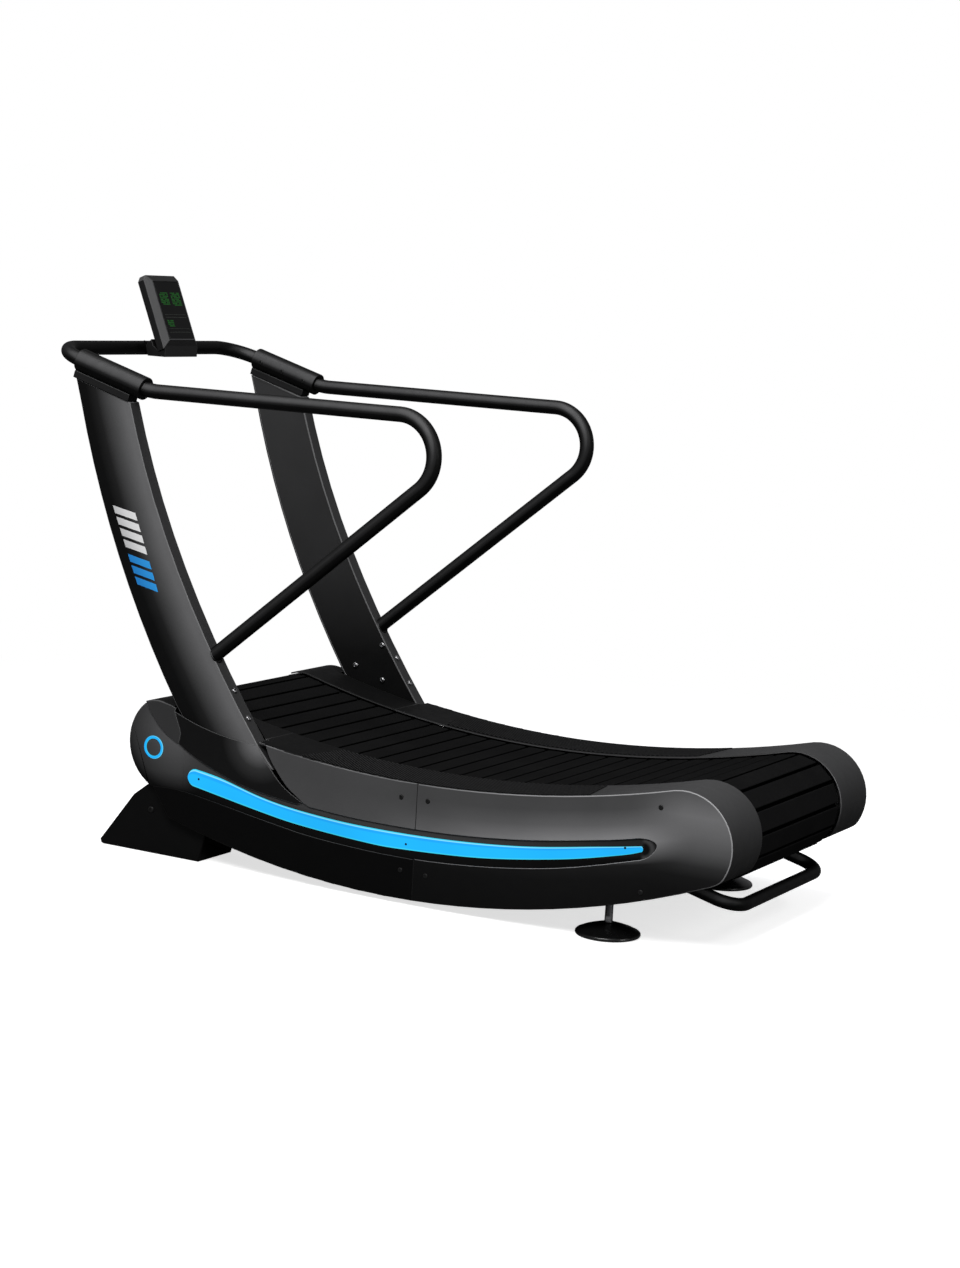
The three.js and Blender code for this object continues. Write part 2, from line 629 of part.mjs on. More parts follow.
// ---- the floor contacts -------------------------------------------------------------------
// The wedge-shaped front stand, open at the top, with the slot and the bore for its wheel.
function frontStand(sign) {
  const outline = [
    [-792, 12], [-789, 3], [-781, 0], [-478, 0], [-440, 150], [-440, STAND_TOP], [-560, STAND_TOP],
    [-600, 186], [-642, 183], [-689, 147], [-712, 117],
  ].map(([x, z]) => point(x, z));
  const hollow = [[-690, 8], [-486, 8], [-447, 150], [-447, 210], [-556, 210], [-600, 176], [-640, 172]]
    .map(([x, z]) => point(x, z));
  const [inner, outer] = STAND;
  const slotHalf = WHEEL.width / 2 + 3;
  const lid = block(-530, -455, sign * (BEAM[0] - 2), sign * BEAM[1], STAND_TOP - 8, STAND_TOP);
  const body = cut(
    slab(outline, sign, inner, outer),
    slab(hollow, sign, inner + 6, outer - 6),
    block(-800, WHEEL.x + WHEEL.r + 6, sign * (WHEEL.y - slotHalf), sign * (WHEEL.y + slotHalf), -5, 110),
    drum(WHEEL.x, WHEEL.z, WHEEL.pin + GAP, sign * (inner - 5), sign * (outer - 12)),
  );
  return union(body, lid);
}

// The wheel with its pin, turning in the stand.
function transportWheel(sign) {
  const half = WHEEL.width / 2;
  const pinHalf = 58;
  const profile = [
    [0, -pinHalf], [WHEEL.pin, -pinHalf], [WHEEL.pin, -half], [WHEEL.r - 3, -half], [WHEEL.r, -half + 3],
    [WHEEL.r, half - 3], [WHEEL.r - 3, half], [WHEEL.pin, half], [WHEEL.pin, pinHalf], [0, pinHalf],
  ];
  const geometry = lathe(profile, 20);
  geometry.translate(WHEEL.x, sign * WHEEL.y, WHEEL.z);
  return geometry;
}

// The levelling foot: a flat rubber-soled dome on a stem that enters the frame.
function levellingFoot(sign) {
  const profile = [
    [0, 0], [FOOT.radius - 5, 0], [FOOT.radius, 5], [FOOT.radius - 2, 12], [FOOT.radius * 0.7, 22],
    [20, 30], [FOOT.stem, 34], [FOOT.stem, 215], [0, 215],
  ];
  const geometry = lathe(profile, 22);
  geometry.rotateX(Math.PI / 2);
  geometry.translate(FOOT.x, sign * FOOT.y, 0);
  return geometry;
}

function liftHandle() {
  const armEnd = FOOT_STUB.x1 + GAP;
  const armZ = 172;
  const corners = [
    new THREE.Vector3(armEnd, -HANDLE.y, armZ),
    new THREE.Vector3(HANDLE.x, -HANDLE.y, HANDLE.z),
    new THREE.Vector3(HANDLE.x, HANDLE.y, HANDLE.z),
    new THREE.Vector3(armEnd, HANDLE.y, armZ),
  ];
  const bent = rounded(corners, HANDLE.bend, 6);
  const keep = block(armEnd, 1100, -400, 400, 0, 400);
  bent[0].x -= 10;
  bent[bent.length - 1].x -= 10;
  return common(tube(bent, HANDLE.r), keep);
}

// ---- the uprights and rails ---------------------------------------------------------------
const SLEEVE_AXIS = new THREE.Vector2(-Math.cos(SLEEVE_SLOPE), Math.sin(SLEEVE_SLOPE));
const SLEEVE_FRONT = SLEEVE_REAR.clone().add(SLEEVE_AXIS.clone().multiplyScalar(SLEEVE_LENGTH));

// Height of a line that runs below the sleeve's axis, at a distance from it.
function belowSleeve(x, distance) {
  return SLEEVE_REAR.y - (x - SLEEVE_REAR.x) * Math.tan(SLEEVE_SLOPE) - distance / Math.cos(SLEEVE_SLOPE);
}

function uprightOutline(inset) {
  const side = inset * 1.25;
  const front = bezier(point(-891, 1157), point(-782, 752), point(-550, 401), 10);
  const rear = bezier(point(-299, 335), point(-616, 751), point(-733, 1159), 10);
  const topDrop = SADDLE_DROP + GAP + inset;
  const bottom = UPRIGHT_BOTTOM + inset;
  const frontTopX = -907 + side;
  return [
    point(frontTopX, belowSleeve(frontTopX, topDrop)),
    ...front.map((p) => point(p.x + side, p.y)),
    point(-455 + side, bottom),
    point(-248 - side, bottom),
    ...rear.slice(0, -1).map((p) => point(p.x - side, p.y)),
    point(-734 - side, belowSleeve(-734 - side, topDrop)),
  ];
}

// The pressed-steel upright, open towards the runner.
function upright(sign) {
  return cut(
    slab(uprightOutline(0), sign, UPRIGHT[0], UPRIGHT[1]),
    slab(uprightOutline(UPRIGHT_WALL), sign, UPRIGHT[0] - 5, UPRIGHT[1] - UPRIGHT_WALL),
  );
}

// The plate that closes the upright's open side.
function uprightLiner(sign) {
  return slab(uprightOutline(UPRIGHT_WALL + GAP), sign, UPRIGHT[0] + 1, UPRIGHT[0] + 4);
}

function onRail(x, z, sign) {
  return new THREE.Vector3(x, sign * RAIL_Y, z);
}

// The sleeve that joins the crossbar and the handrail, with its saddle on top of the upright.
function railSleeve(sign) {
  const middle = SLEEVE_REAR.clone().add(SLEEVE_FRONT).multiplyScalar(0.5);
  const profile = [
    [RAIL_RADIUS + GAP, -SLEEVE_LENGTH / 2], [SLEEVE_RADIUS, -SLEEVE_LENGTH / 2],
    [SLEEVE_RADIUS, SLEEVE_LENGTH / 2], [RAIL_RADIUS + GAP, SLEEVE_LENGTH / 2],
    [RAIL_RADIUS + GAP, -SLEEVE_LENGTH / 2],
  ];
  const barrel = lathe(profile, 32);
  barrel.rotateZ(Math.PI / 2);
  const [saddleFront, saddleRear] = [-SLEEVE_LENGTH / 2 + 2, SLEEVE_LENGTH / 2 - 30];
  const saddle = block(saddleFront, saddleRear, -20, 20, -SADDLE_DROP, -SLEEVE_RADIUS + 4);
  const joined = union(barrel, saddle);
  joined.rotateY(SLEEVE_SLOPE);
  joined.translate(middle.x, sign * RAIL_Y, middle.y);
  return joined;
}

// Where the handrail ends on the rear flange of its upright, and the direction it comes from.
const RAIL_FOOT = { x: -445, z: 542 };
const RAIL_RETURN = THREE.MathUtils.degToRad(39.6);

function handrail(sign) {
  const middle = SLEEVE_REAR.clone().add(SLEEVE_FRONT).multiplyScalar(0.5);
  const start = middle.clone().sub(SLEEVE_AXIS.clone().multiplyScalar(2));
  const bendX = SLEEVE_REAR.x + (SLEEVE_REAR.y - RAIL_LEVEL) / Math.tan(SLEEVE_SLOPE);
  const centre = { x: RAIL_BEND.x, z: RAIL_LEVEL - RAIL_BEND.r };
  const turnEnd = THREE.MathUtils.radToDeg(RAIL_RETURN) - 90;
  const turn = arc(centre.x, centre.z, RAIL_BEND.r, 90, turnEnd, 12);
  const last = turn[turn.length - 1];
  const direction = point(-Math.cos(RAIL_RETURN), -Math.sin(RAIL_RETURN));
  const intoFlange = 6;
  const reach = point(RAIL_FOOT.x, RAIL_FOOT.z).sub(last).dot(direction) + intoFlange;
  const end = last.clone().add(direction.multiplyScalar(reach));
  const points = [
    onRail(start.x, start.y, sign),
    onRail(bendX - 12, RAIL_LEVEL + 12 * Math.tan(SLEEVE_SLOPE), sign),
    onRail(bendX + 12, RAIL_LEVEL, sign),
    ...turn.map((p) => onRail(p.x, p.y, sign)),
    onRail(end.x, end.y, sign),
  ];
  return cut(tube(points, RAIL_RADIUS), slab(uprightOutline(-GAP), sign, UPRIGHT[0] - 20, UPRIGHT[1] + 20));
}

const CROSSBAR_Z = belowSleeve(CROSSBAR_X, 0);

function crossbar() {
  const start = SLEEVE_REAR.clone().add(SLEEVE_FRONT).multiplyScalar(0.5).add(
    SLEEVE_AXIS.clone().multiplyScalar(2));
  const corners = [
    onRail(start.x, start.y, -1),
    onRail(CROSSBAR_X, CROSSBAR_Z, -1),
    onRail(CROSSBAR_X, CROSSBAR_Z, 1),
    onRail(start.x, start.y, 1),
  ];
  return tube(rounded(corners, CROSSBAR_BEND, 8), RAIL_RADIUS);
}

// ---- the console --------------------------------------------------------------------------
// Built flat, with its face along +X and its top along +Z, then tilted back into place.
function placeConsole(geometry) {
  geometry.rotateY(-THREE.MathUtils.degToRad(CONSOLE.tilt));
  geometry.translate(CONSOLE.x, 0, CONSOLE.z);
  return geometry;
}

function consoleHousing() {
  const { width, length, depth } = CONSOLE;
  const chamfer = CONSOLE_CHAMFER;
  const [half, reach] = [width / 2, length / 2];
  const face = [
    [-half, -reach], [half, -reach], [half, reach - chamfer.corner], [half - chamfer.corner, reach],
    [-half + chamfer.corner, reach], [-half, reach - chamfer.corner],
  ].map(([y, z]) => point(y, z));
  const body = new THREE.ExtrudeGeometry(new THREE.Shape(face), {
    depth: depth - 2 * chamfer.depth,
    bevelThickness: chamfer.depth,
    bevelSize: chamfer.width,
    bevelOffset: -chamfer.width,
    bevelSegments: 1,
  });
  body.rotateX(Math.PI / 2);
  body.rotateZ(Math.PI / 2);
  body.translate(-depth + chamfer.depth, 0, 0);
  const pocket = block(-LENS.thickness - GAP, 5, -LENS.width / 2, LENS.width / 2, -LENS.length / 2,
    LENS.length / 2);
  return placeConsole(cut(body, pocket));
}

function consoleLens() {
  const half = LENS.width / 2 - GAP;
  const reach = LENS.length / 2 - GAP;
  return placeConsole(block(-LENS.thickness, 0, -half, half, -reach, reach));
}

// The foot of the console: a block behind the crossbar, with a saddle that wraps the bar's rear half.
function consoleBracket() {
  const { width, low, front, rear } = BRACKET;
  const half = width / 2;
  const side = [
    [front + 8, low], [rear, low], [rear, low + 48], [front + 21, low + 48], [front, low + 27],
  ].map(([x, z]) => point(x, z));
  const saddle = block(CROSSBAR_X, front + 5, -25, 25, low, CROSSBAR_Z + RAIL_RADIUS);
  return cut(
    union(extrudeY(side, -half, half), saddle),
    drum(CROSSBAR_X, CROSSBAR_Z, RAIL_RADIUS + GAP, -60, 60, 32),
    consoleEnvelope(),
  );
}

// The console's own space and everything in front of its face, to cut away from the bracket.
function consoleEnvelope() {
  const { depth, length } = CONSOLE;
  const chamfer = CONSOLE_CHAMFER;
  const low = -length / 2;
  const outline = [
    [-depth - GAP, 100], [-depth - GAP, low + chamfer.width], [-depth + chamfer.depth, low - GAP],
    [-chamfer.depth, low - GAP], [GAP, low + chamfer.width], [60, low + chamfer.width], [60, 100],
  ].map(([x, z]) => point(x, z));
  return placeConsole(extrudeY(outline, -100, 100));
}

// ---- assembly -----------------------------------------------------------------------------
addMesh('slat_belt', slatBelt(), 'slat');
for (const [name, axle] of [['front', FRONT], ['rear', REAR]]) {
  addMesh(`${name}_axle`, drum(axle.x, axle.z, AXLE_RADIUS, -AXLE_END, AXLE_END), 'steel');
}
for (const [name, x] of Object.entries(CROSS_MEMBERS)) {
  addMesh(`cross_member_${name}`, crossMember(x), 'powder');
}
addMesh('belly_pan', bellyPan(), 'gloss');
addMesh('lift_handle', liftHandle(), 'powder');
addMesh('crossbar', crossbar(), 'powder');
addMesh('console_bracket', consoleBracket(), 'powder');
addMesh('console_housing', consoleHousing(), 'cover');
addMesh('console_lens', consoleLens(), 'glass');

for (const { name, sign } of SIDES) {
  addMesh(`drive_belt_${name}`, driveBelt(sign), 'drive');
  addMesh(`front_pulley_${name}`, pulley(FRONT, sign), 'cast');
  addMesh(`rear_pulley_${name}`, pulley(REAR, sign), 'cast');
  addMesh(`front_bearing_${name}`, axleBearing(FRONT, BEAM_ENDS[0], sign), 'cast');
  addMesh(`rear_bearing_${name}`, axleBearing(REAR, BEAM_ENDS[1], sign), 'cast');
  addMesh(`side_beam_${name}`, sideBeam(sign), 'powder');
  addMesh(`bearing_rail_${name}`, bearingRail(sign), 'steel');
  addMesh(`rear_cover_${name}`, rearCover(sign), 'cover');
  addMesh(`upper_cover_${name}`, upperCover(sign), 'cover');
  addMesh(`lower_cover_${name}`, lowerCover(sign), 'gloss');
  addMesh(`light_channel_${name}`, lightChannel(sign), 'gloss');
  addMesh(`light_strip_${name}`, lightStrip(sign), 'light');
  addMesh(`front_cap_${name}`, frontCap(sign), 'gloss');
  addMesh(`ring_light_${name}`, ringLight(sign), 'light');
  addMesh(`front_hood_${name}`, frontHood(sign), 'cover');
  addMesh(`upright_shroud_${name}`, uprightShroud(sign), 'gloss');
  addMesh(`grip_pad_${name}`, gripPad(sign), 'grip');
  addMesh(`front_stand_${name}`, frontStand(sign), 'gloss');
  addMesh(`transport_wheel_${name}`, transportWheel(sign), 'rubber');
  addMesh(`levelling_foot_${name}`, levellingFoot(sign), 'rubber');
  addMesh(`upright_${name}`, upright(sign), 'powder');
  addMesh(`upright_liner_${name}`, uprightLiner(sign), 'powder');
  addMesh(`rail_sleeve_${name}`, railSleeve(sign), 'powder');
  addMesh(`handrail_${name}`, handrail(sign), 'powder');
}

export default treadmill;
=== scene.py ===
"""Looks of the curved manual treadmill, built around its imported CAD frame.

Metres, in the row frame: +X towards the rear, -Y the runner's left side, +Z up.
"""
import json
import math

import bmesh
import bpy
from mathutils import Matrix, Vector


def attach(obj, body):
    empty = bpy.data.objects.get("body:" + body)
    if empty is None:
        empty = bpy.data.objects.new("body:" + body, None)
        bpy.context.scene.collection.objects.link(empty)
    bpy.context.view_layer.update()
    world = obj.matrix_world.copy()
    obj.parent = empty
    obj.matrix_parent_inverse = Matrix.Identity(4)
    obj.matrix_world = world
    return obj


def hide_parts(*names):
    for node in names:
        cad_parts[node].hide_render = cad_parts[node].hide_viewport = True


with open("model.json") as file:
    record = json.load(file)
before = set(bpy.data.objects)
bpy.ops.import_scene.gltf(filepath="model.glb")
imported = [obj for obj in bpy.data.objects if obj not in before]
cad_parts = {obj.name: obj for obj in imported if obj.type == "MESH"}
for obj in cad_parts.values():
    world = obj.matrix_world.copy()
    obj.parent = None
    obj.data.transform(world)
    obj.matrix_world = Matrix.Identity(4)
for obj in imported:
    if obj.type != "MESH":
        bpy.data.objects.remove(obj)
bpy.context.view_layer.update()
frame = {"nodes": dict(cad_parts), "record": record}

RECORD = frame["record"]
SLOT_OF = {part["node"]: part["material_slot"] for part in RECORD["subparts"]}
BODY_OF = {node: body for body, nodes in RECORD["behaviour"]["bodies"].items() for node in nodes}
SIDES = (("left", -1), ("right", 1))

# ---- dimensions shared with the CAD ---------------------------------------------------------
REAR = {"x": 0.883, "z": 0.268, "r": 0.122}
FRONT = {"x": -0.608, "z": 0.316, "r": 0.087}
RUN_LOW = 0.300
RETURN_LOW = 0.062
SLAT_COUNT = 62
SLAT_THICKNESS = 0.020
SLAT_SEAM_DEPTH = 0.009
BELT_HALF_WIDTH = 0.246

COVER_OUTER = 0.425
SEAM_X = 0.175
PANEL_OUTER = 0.4207
UPRIGHT = (0.380, 0.4205)
STAND_OUTER = 0.400

RAIL_Y = 0.4045
RAIL_RADIUS = 0.019
RAIL_LEVEL = 1.193
RAIL_BEND = {"x": 0.058, "r": 0.100}
RAIL_RETURN = math.radians(39.6)
RAIL_FOOT = {"x": -0.445, "z": 0.542}
SLEEVE_REAR = Vector((-0.697, 1.197))
SLEEVE_LENGTH = 0.215
SLEEVE_SLOPE = math.radians(16)
SLEEVE_RADIUS = 0.030
CROSSBAR_X = -0.992
CROSSBAR_BEND = 0.090

CONSOLE = {"tilt": math.radians(22.8), "x": -0.910, "z": 1.387}
LENS = {"width": 0.112, "length": 0.162}
FOOT = {"x": 0.668, "y": 0.335, "radius": 0.079, "stem": 0.010, "top": 0.215}
WHEEL = {"x": -0.742, "y": 0.325, "z": 0.040, "r": 0.034, "width": 0.034, "pin": 0.006}
HANDLE = {"x": 0.965, "y": 0.268, "z": 0.103, "r": 0.016, "bend": 0.060}
HANDLE_ROOT = {"x": 0.6963, "z": 0.172}
RING_LIGHT = {"x": -0.616, "z": 0.284, "outer": 0.030, "inner": 0.0225}

LIGHT_TOP = [(-0.482, 0.246), (-0.405, 0.234), (-0.281, 0.204), (-0.160, 0.187), (0.017, 0.177),
             (0.245, 0.180), (0.464, 0.197), (0.675, 0.230), (0.780, 0.248)]
LIGHT_BOTTOM = [(-0.482, 0.200), (-0.279, 0.166), (-0.158, 0.150), (0.019, 0.138), (0.134, 0.137),
                (0.358, 0.151), (0.573, 0.183), (0.728, 0.218), (0.780, 0.234)]
UPRIGHT_REAR_EDGE = ((-0.299, 0.335), (-0.616, 0.751), (-0.733, 1.159))

# ---- sizes that only the looks have ---------------------------------------------------------
SLAT_SEAM = 0.010
SLAT_EDGE = 0.0026
SLAT_CHAMFER = 0.0012
RAIL_KINK = 0.024
WELD_RADIUS = 0.0022
LIFT = 0.0003
LIGHT_DOME = 0.0024
LIGHT_TIP = 0.005
WHEEL_PIN_REACH = 0.058
COVER_SCREW = {"radius": 0.0062, "height": 0.0022}
FLANGE_BOLT = {"radius": 0.0085, "height": 0.0050}
PANEL_BOLT = {"radius": 0.0085, "height": 0.0055}
STAND_BOLT = {"radius": 0.0085, "height": 0.0040}
LIGHT_SCREW = {"radius": 0.0030, "height": 0.0010}
SLEEVE_SCREW = {"radius": 0.0062, "height": 0.0024}
COVER_SCREWS = ((0.131, 0.267), (0.206, 0.268), (0.825, 0.348), (0.788, 0.140), (0.139, 0.086),
                (0.211, 0.083))
FLANGE_BOLT_HEIGHTS = (0.459, 0.394)
FLANGE_BOLT_Y = 0.400
PANEL_BOLTS = ((-0.427, 0.493), (-0.511, 0.426), (-0.421, 0.395))
LIGHT_SCREWS = ((-0.470, 0.222), (0.150, 0.152), (0.740, 0.238))
REARWARD = (1, 0, 0)


# ---- the belt loop --------------------------------------------------------------------------
def tangent_run(side, low):
    """The arc that touches both axle circles, above (1) or below (-1), with a given lowest point."""
    rise_front = FRONT["z"] + side * FRONT["r"] - low
    rise_rear = REAR["z"] + side * REAR["r"] - low
    offset_front = FRONT["z"] - side * FRONT["r"] - low
    offset_rear = REAR["z"] - side * REAR["r"] - low
    a = 1 / rise_front - 1 / rise_rear
    b = -2 * (FRONT["x"] / rise_front - REAR["x"] / rise_rear)
    c = FRONT["x"] ** 2 / rise_front - REAR["x"] ** 2 / rise_rear + offset_front - offset_rear
    root = math.sqrt(b * b - 4 * a * c)
    x = next(v for v in ((-b + root) / (2 * a), (-b - root) / (2 * a)) if FRONT["x"] < v < REAR["x"])
    r = ((x - FRONT["x"]) ** 2 / rise_front + offset_front) / 2
    return {"x": x, "z": low + r, "r": r}


def angle_to(start, end):
    return math.atan2(end["z"] - start["z"], end["x"] - start["x"])


RUN = tangent_run(1, RUN_LOW)
RETURN = tangent_run(-1, RETURN_LOW)
FRONT_TOP = angle_to(FRONT, RUN)
REAR_TOP = angle_to(REAR, RUN)
REAR_BOTTOM = angle_to(RETURN, REAR)
FRONT_BOTTOM = angle_to(RETURN, FRONT)
STRETCHES = (
    (RUN, FRONT_TOP - math.pi, REAR_TOP - math.pi, -1),
    (REAR, REAR_TOP, REAR_BOTTOM, 1),
    (RETURN, REAR_BOTTOM, FRONT_BOTTOM, 1),
    (FRONT, FRONT_BOTTOM + 2 * math.pi, FRONT_TOP, 1),
)
LENGTHS = [circle["r"] * abs(end - start) for circle, start, end, _ in STRETCHES]
SLAT_PITCH = sum(LENGTHS) / SLAT_COUNT


def loop_point(distance, offset):
    """A point of the loop at a distance along it, moved outward by an offset."""
    rest = distance % sum(LENGTHS)
    for (circle, start, end, outward), length in zip(STRETCHES, LENGTHS):
        if rest <= length:
            break
        rest -= length
    turn = start + (end - start) * rest / length
    radius = circle["r"] + outward * offset
    return Vector((circle["x"] + radius * math.cos(turn), 0, circle["z"] + radius * math.sin(turn)))


def bezier(start, control, end, t):
    a, b, c = Vector(start), Vector(control), Vector(end)
    return (1 - t) ** 2 * a + 2 * t * (1 - t) * b + t ** 2 * c


# ---- procedural materials -------------------------------------------------------------------
class Surface:
    """A node material around one Principled shader. Uniform values sit on its own sockets."""

    def __init__(self, name, metallic=0.0, specular=0.5, coat=0.0, coat_roughness=0.1):
        self.material = bpy.data.materials.new(name)
        self.material.use_nodes = True
        self.tree = self.material.node_tree
        self.shader = self.tree.nodes["Principled BSDF"]
        self.set({"Metallic": metallic, "Specular IOR Level": specular})
        self.set({"Coat Weight": coat, "Coat Roughness": coat_roughness})
        self.place = self.tree.nodes.new("ShaderNodeTexCoord").outputs["Object"]

    def set(self, values):
        for socket, value in values.items():
            self.shader.inputs[socket].default_value = value

    def node(self, kind, links=(), **values):
        made = self.tree.nodes.new(kind)
        for key, value in values.items():
            setattr(made, key, value)
        for socket, source in links:
            if isinstance(source, bpy.types.NodeSocket):
                self.tree.links.new(source, made.inputs[socket])
            else:
                made.inputs[socket].default_value = source
        return made

    def noise(self, scale, detail=3.0, stretch=(1, 1, 1)):
        spread = self.node("ShaderNodeMapping", [("Vector", self.place), ("Scale", stretch)])
        links = [("Vector", spread.outputs[0]), ("Scale", scale), ("Detail", detail)]
        return self.node("ShaderNodeTexNoise", links).outputs["Fac"]

    def vector(self, operation, a, b, output="Value"):
        return self.node("ShaderNodeVectorMath", [(0, a), (1, b)], operation=operation).outputs[output]

    def along(self, direction, start, end):
        """0 at distance start along a direction of the row frame, 1 at distance end."""
        return self.remap(self.vector("DOT_PRODUCT", self.place, direction), start, end, style="SMOOTHSTEP")

    def radial(self, centre_x, centre_z):
        """Distance from a line along Y, for tones that follow a curved piece."""
        flat = self.vector("MULTIPLY", self.place, (1, 0, 1), "Vector")
        return self.vector("DISTANCE", flat, (centre_x, 0, centre_z))

    def facing(self, direction):
        """1 where the surface faces a direction of the row frame, -1 where it faces away."""
        normal = self.node("ShaderNodeNewGeometry").outputs["Normal"]
        return self.vector("DOT_PRODUCT", normal, Vector(direction).normalized())

    def ramp(self, value, stops):
        """Grey tones at positions from 0 to 1."""
        made = self.node("ShaderNodeValToRGB", [("Fac", value)])
        line = made.color_ramp.elements
        line[0].position, line[1].position = stops[0][0], stops[-1][0]
        line[0].color, line[1].color = grey(stops[0][1]), grey(stops[-1][1])
        for position, tone in stops[1:-1]:
            line.new(position).color = grey(tone)
        return made.outputs["Color"]

    def scale(self, colour, factor):
        links = [(0, colour), ("Scale", factor)]
        return self.node("ShaderNodeVectorMath", links, operation="SCALE").outputs["Vector"]

    def remap(self, value, low, high, to_low=0.0, to_high=1.0, style="LINEAR"):
        links = [("Value", value), ("From Min", low), ("From Max", high)]
        links += [("To Min", to_low), ("To Max", to_high)]
        return self.node("ShaderNodeMapRange", links, interpolation_type=style).outputs["Result"]

    def height(self):
        return self.node("ShaderNodeSeparateXYZ", [("Vector", self.place)]).outputs["Z"]

    def maths(self, operation, a, b):
        return self.node("ShaderNodeMath", [(0, a), (1, b)], operation=operation).outputs[0]

    def mix(self, factor, a, b):
        return self.node("ShaderNodeMix", [(0, factor), (6, a), (7, b)], data_type="RGBA").outputs[2]

    def colour(self, source):
        self.tree.links.new(source, self.shader.inputs["Base Color"])
        return self

    def roughness(self, source):
        self.tree.links.new(source, self.shader.inputs["Roughness"])
        return self

    def bump(self, height, distance):
        made = self.node("ShaderNodeBump", [("Height", height), ("Distance", distance), ("Strength", 1.0)])
        self.tree.links.new(made.outputs["Normal"], self.shader.inputs["Normal"])
        return self

    def below_run(self):
        """How far a point lies below the belt's loaded run."""
        return self.maths("SUBTRACT", self.radial(RUN["x"], RUN["z"]), RUN["r"])

    def away_from(self, value, middle):
        return self.maths("ABSOLUTE", self.maths("SUBTRACT", value, middle), 0.0)

    def uneven(self, size, low, high, detail=3.0):
        """A factor that wanders between two values; a higher size number makes smaller patches."""
        return self.remap(self.noise(size, detail), 0.3, 0.7, low, high)

    def clouded(self, tone, size, amount):
        """Takes a tone as its colour, slightly uneven over the piece."""
        return self.colour(self.scale(tone, self.uneven(size, 1 - amount, 1 + amount, 4.0)))

    def gloss(self, size, low, high):
        return self.roughness(self.uneven(size, low, high))

    def grain(self, size, depth):
        return self.bump(self.noise(size, 2.0), depth)


def grey(value):
    return (value, value, value * 1.02, 1.0)


def mottled(name, tone, rough, grain, depth, **shader):
    """A coating with slight tone variation, uneven gloss and a fine grain."""
    made = Surface(name, **shader)
    made.colour(made.mix(made.noise(6.0, 4.0), grey(tone * 0.88), grey(tone * 1.12)))
    return made.gloss(35.0, rough - 0.06, rough + 0.06).grain(grain, depth).material


def cover_plastic():
    """Grey moulded plastic with a spark texture, with painted shade darker towards its edges and underside
    and a painted highlight towards the rear.
    """
    made = Surface("grey_spark_plastic", specular=0.12)
    down = made.remap(made.below_run(), -0.02, 0.28)
    front_tone = made.ramp(down, [(0.0, 0.078), (0.20, 0.078), (0.43, 0.088), (0.55, 0.006),
                                  (0.72, 0.004), (1.0, 0.0035)])
    # rear_tone holds a painted highlight: a bright band partway down the side, towards the rear.
    rear_tone = made.ramp(down, [(0.0, 0.070), (0.16, 0.080), (0.28, 0.150), (0.43, 0.340),
                                 (0.60, 0.012), (0.72, 0.006), (1.0, 0.004)])
    up = made.remap(made.height(), 0.06, 0.40)
    # end_tone: painted shade low on the rear end, a painted highlight near its top.
    end_tone = made.ramp(up, [(0.0, 0.003), (0.28, 0.004), (0.40, 0.009), (0.48, 0.030),
                              (0.58, 0.100), (0.70, 0.160), (0.82, 0.200), (1.0, 0.105)])
    side_tone = made.mix(made.along(REARWARD, -0.05, 0.72), front_tone, rear_tone)
    made.clouded(made.mix(made.along(REARWARD, 0.74, 0.92), side_tone, end_tone), 5.0, 0.07)
    return made.gloss(40.0, 0.46, 0.58).grain(1500.0, 0.00012).material


def rail_plastic():
    """The same plastic with painted shade: darker on the foot rails and round the ends, darkest low down,
    with painted light lifting it towards the rear.
    """
    made = Surface("dark_spark_plastic", specular=0.06)
    rearward = made.along(REARWARD, -0.60, 0.90)
    tone = made.ramp(rearward, [(0.0, 0.006), (0.35, 0.008), (0.7, 0.018), (1.0, 0.050)])
    up = made.remap(made.height(), 0.12, 0.40)
    share = made.ramp(up, [(0.0, 0.02), (0.30, 0.15), (0.55, 0.55), (1.0, 1.0)])
    made.clouded(made.scale(tone, share), 5.0, 0.08)
    return made.gloss(40.0, 0.5, 0.6).grain(1500.0, 0.00010).material


def circle_through(a, b, c):
    """Centre and radius of the circle through three points of the X-Z plane."""
    ab, ac = b - a, c - a
    twice = 2 * (ab.x * ac.y - ab.y * ac.x)
    x = (ac.y * ab.length_squared - ab.y * ac.length_squared) / twice
    z = (ab.x * ac.length_squared - ac.x * ab.length_squared) / twice
    centre = a + Vector((x, z))
    return centre, (centre - a).length


def upright_coat():
    """Powder coat on an upright with painted light: painted shade leaves it black along its front edge, a
    painted highlight makes it dark grey along its rear edge.
    """
    made = Surface("upright_powder_coat", specular=0.15)
    centre, radius = circle_through(*(bezier(*UPRIGHT_REAR_EDGE, t) for t in (0.0, 0.5, 1.0)))
    across = made.remap(made.maths("SUBTRACT", made.radial(*centre), radius), 0.0, 0.17)
    tone = made.ramp(across, [(0.0, 0.165), (0.12, 0.155), (0.34, 0.085), (0.58, 0.016),
                              (0.75, 0.004), (1.0, 0.003)])
    return made.clouded(tone, 7.0, 0.08).gloss(35.0, 0.40, 0.50).grain(900.0, 0.00010).material


def shroud_panel():
    """Semi-gloss black plastic of the shroud, lifted to grey behind the upright's foot by a painted
    highlight.
    """
    made = Surface("shroud_gloss", specular=0.2)
    tone = made.ramp(made.radial(-0.292, 0.345), [(0.0, 0.250), (0.03, 0.190), (0.07, 0.040),
                                                  (0.11, 0.007), (1.0, 0.004)])
    return made.clouded(tone, 6.0, 0.1).gloss(35.0, 0.30, 0.40).grain(500.0, 0.00003).material


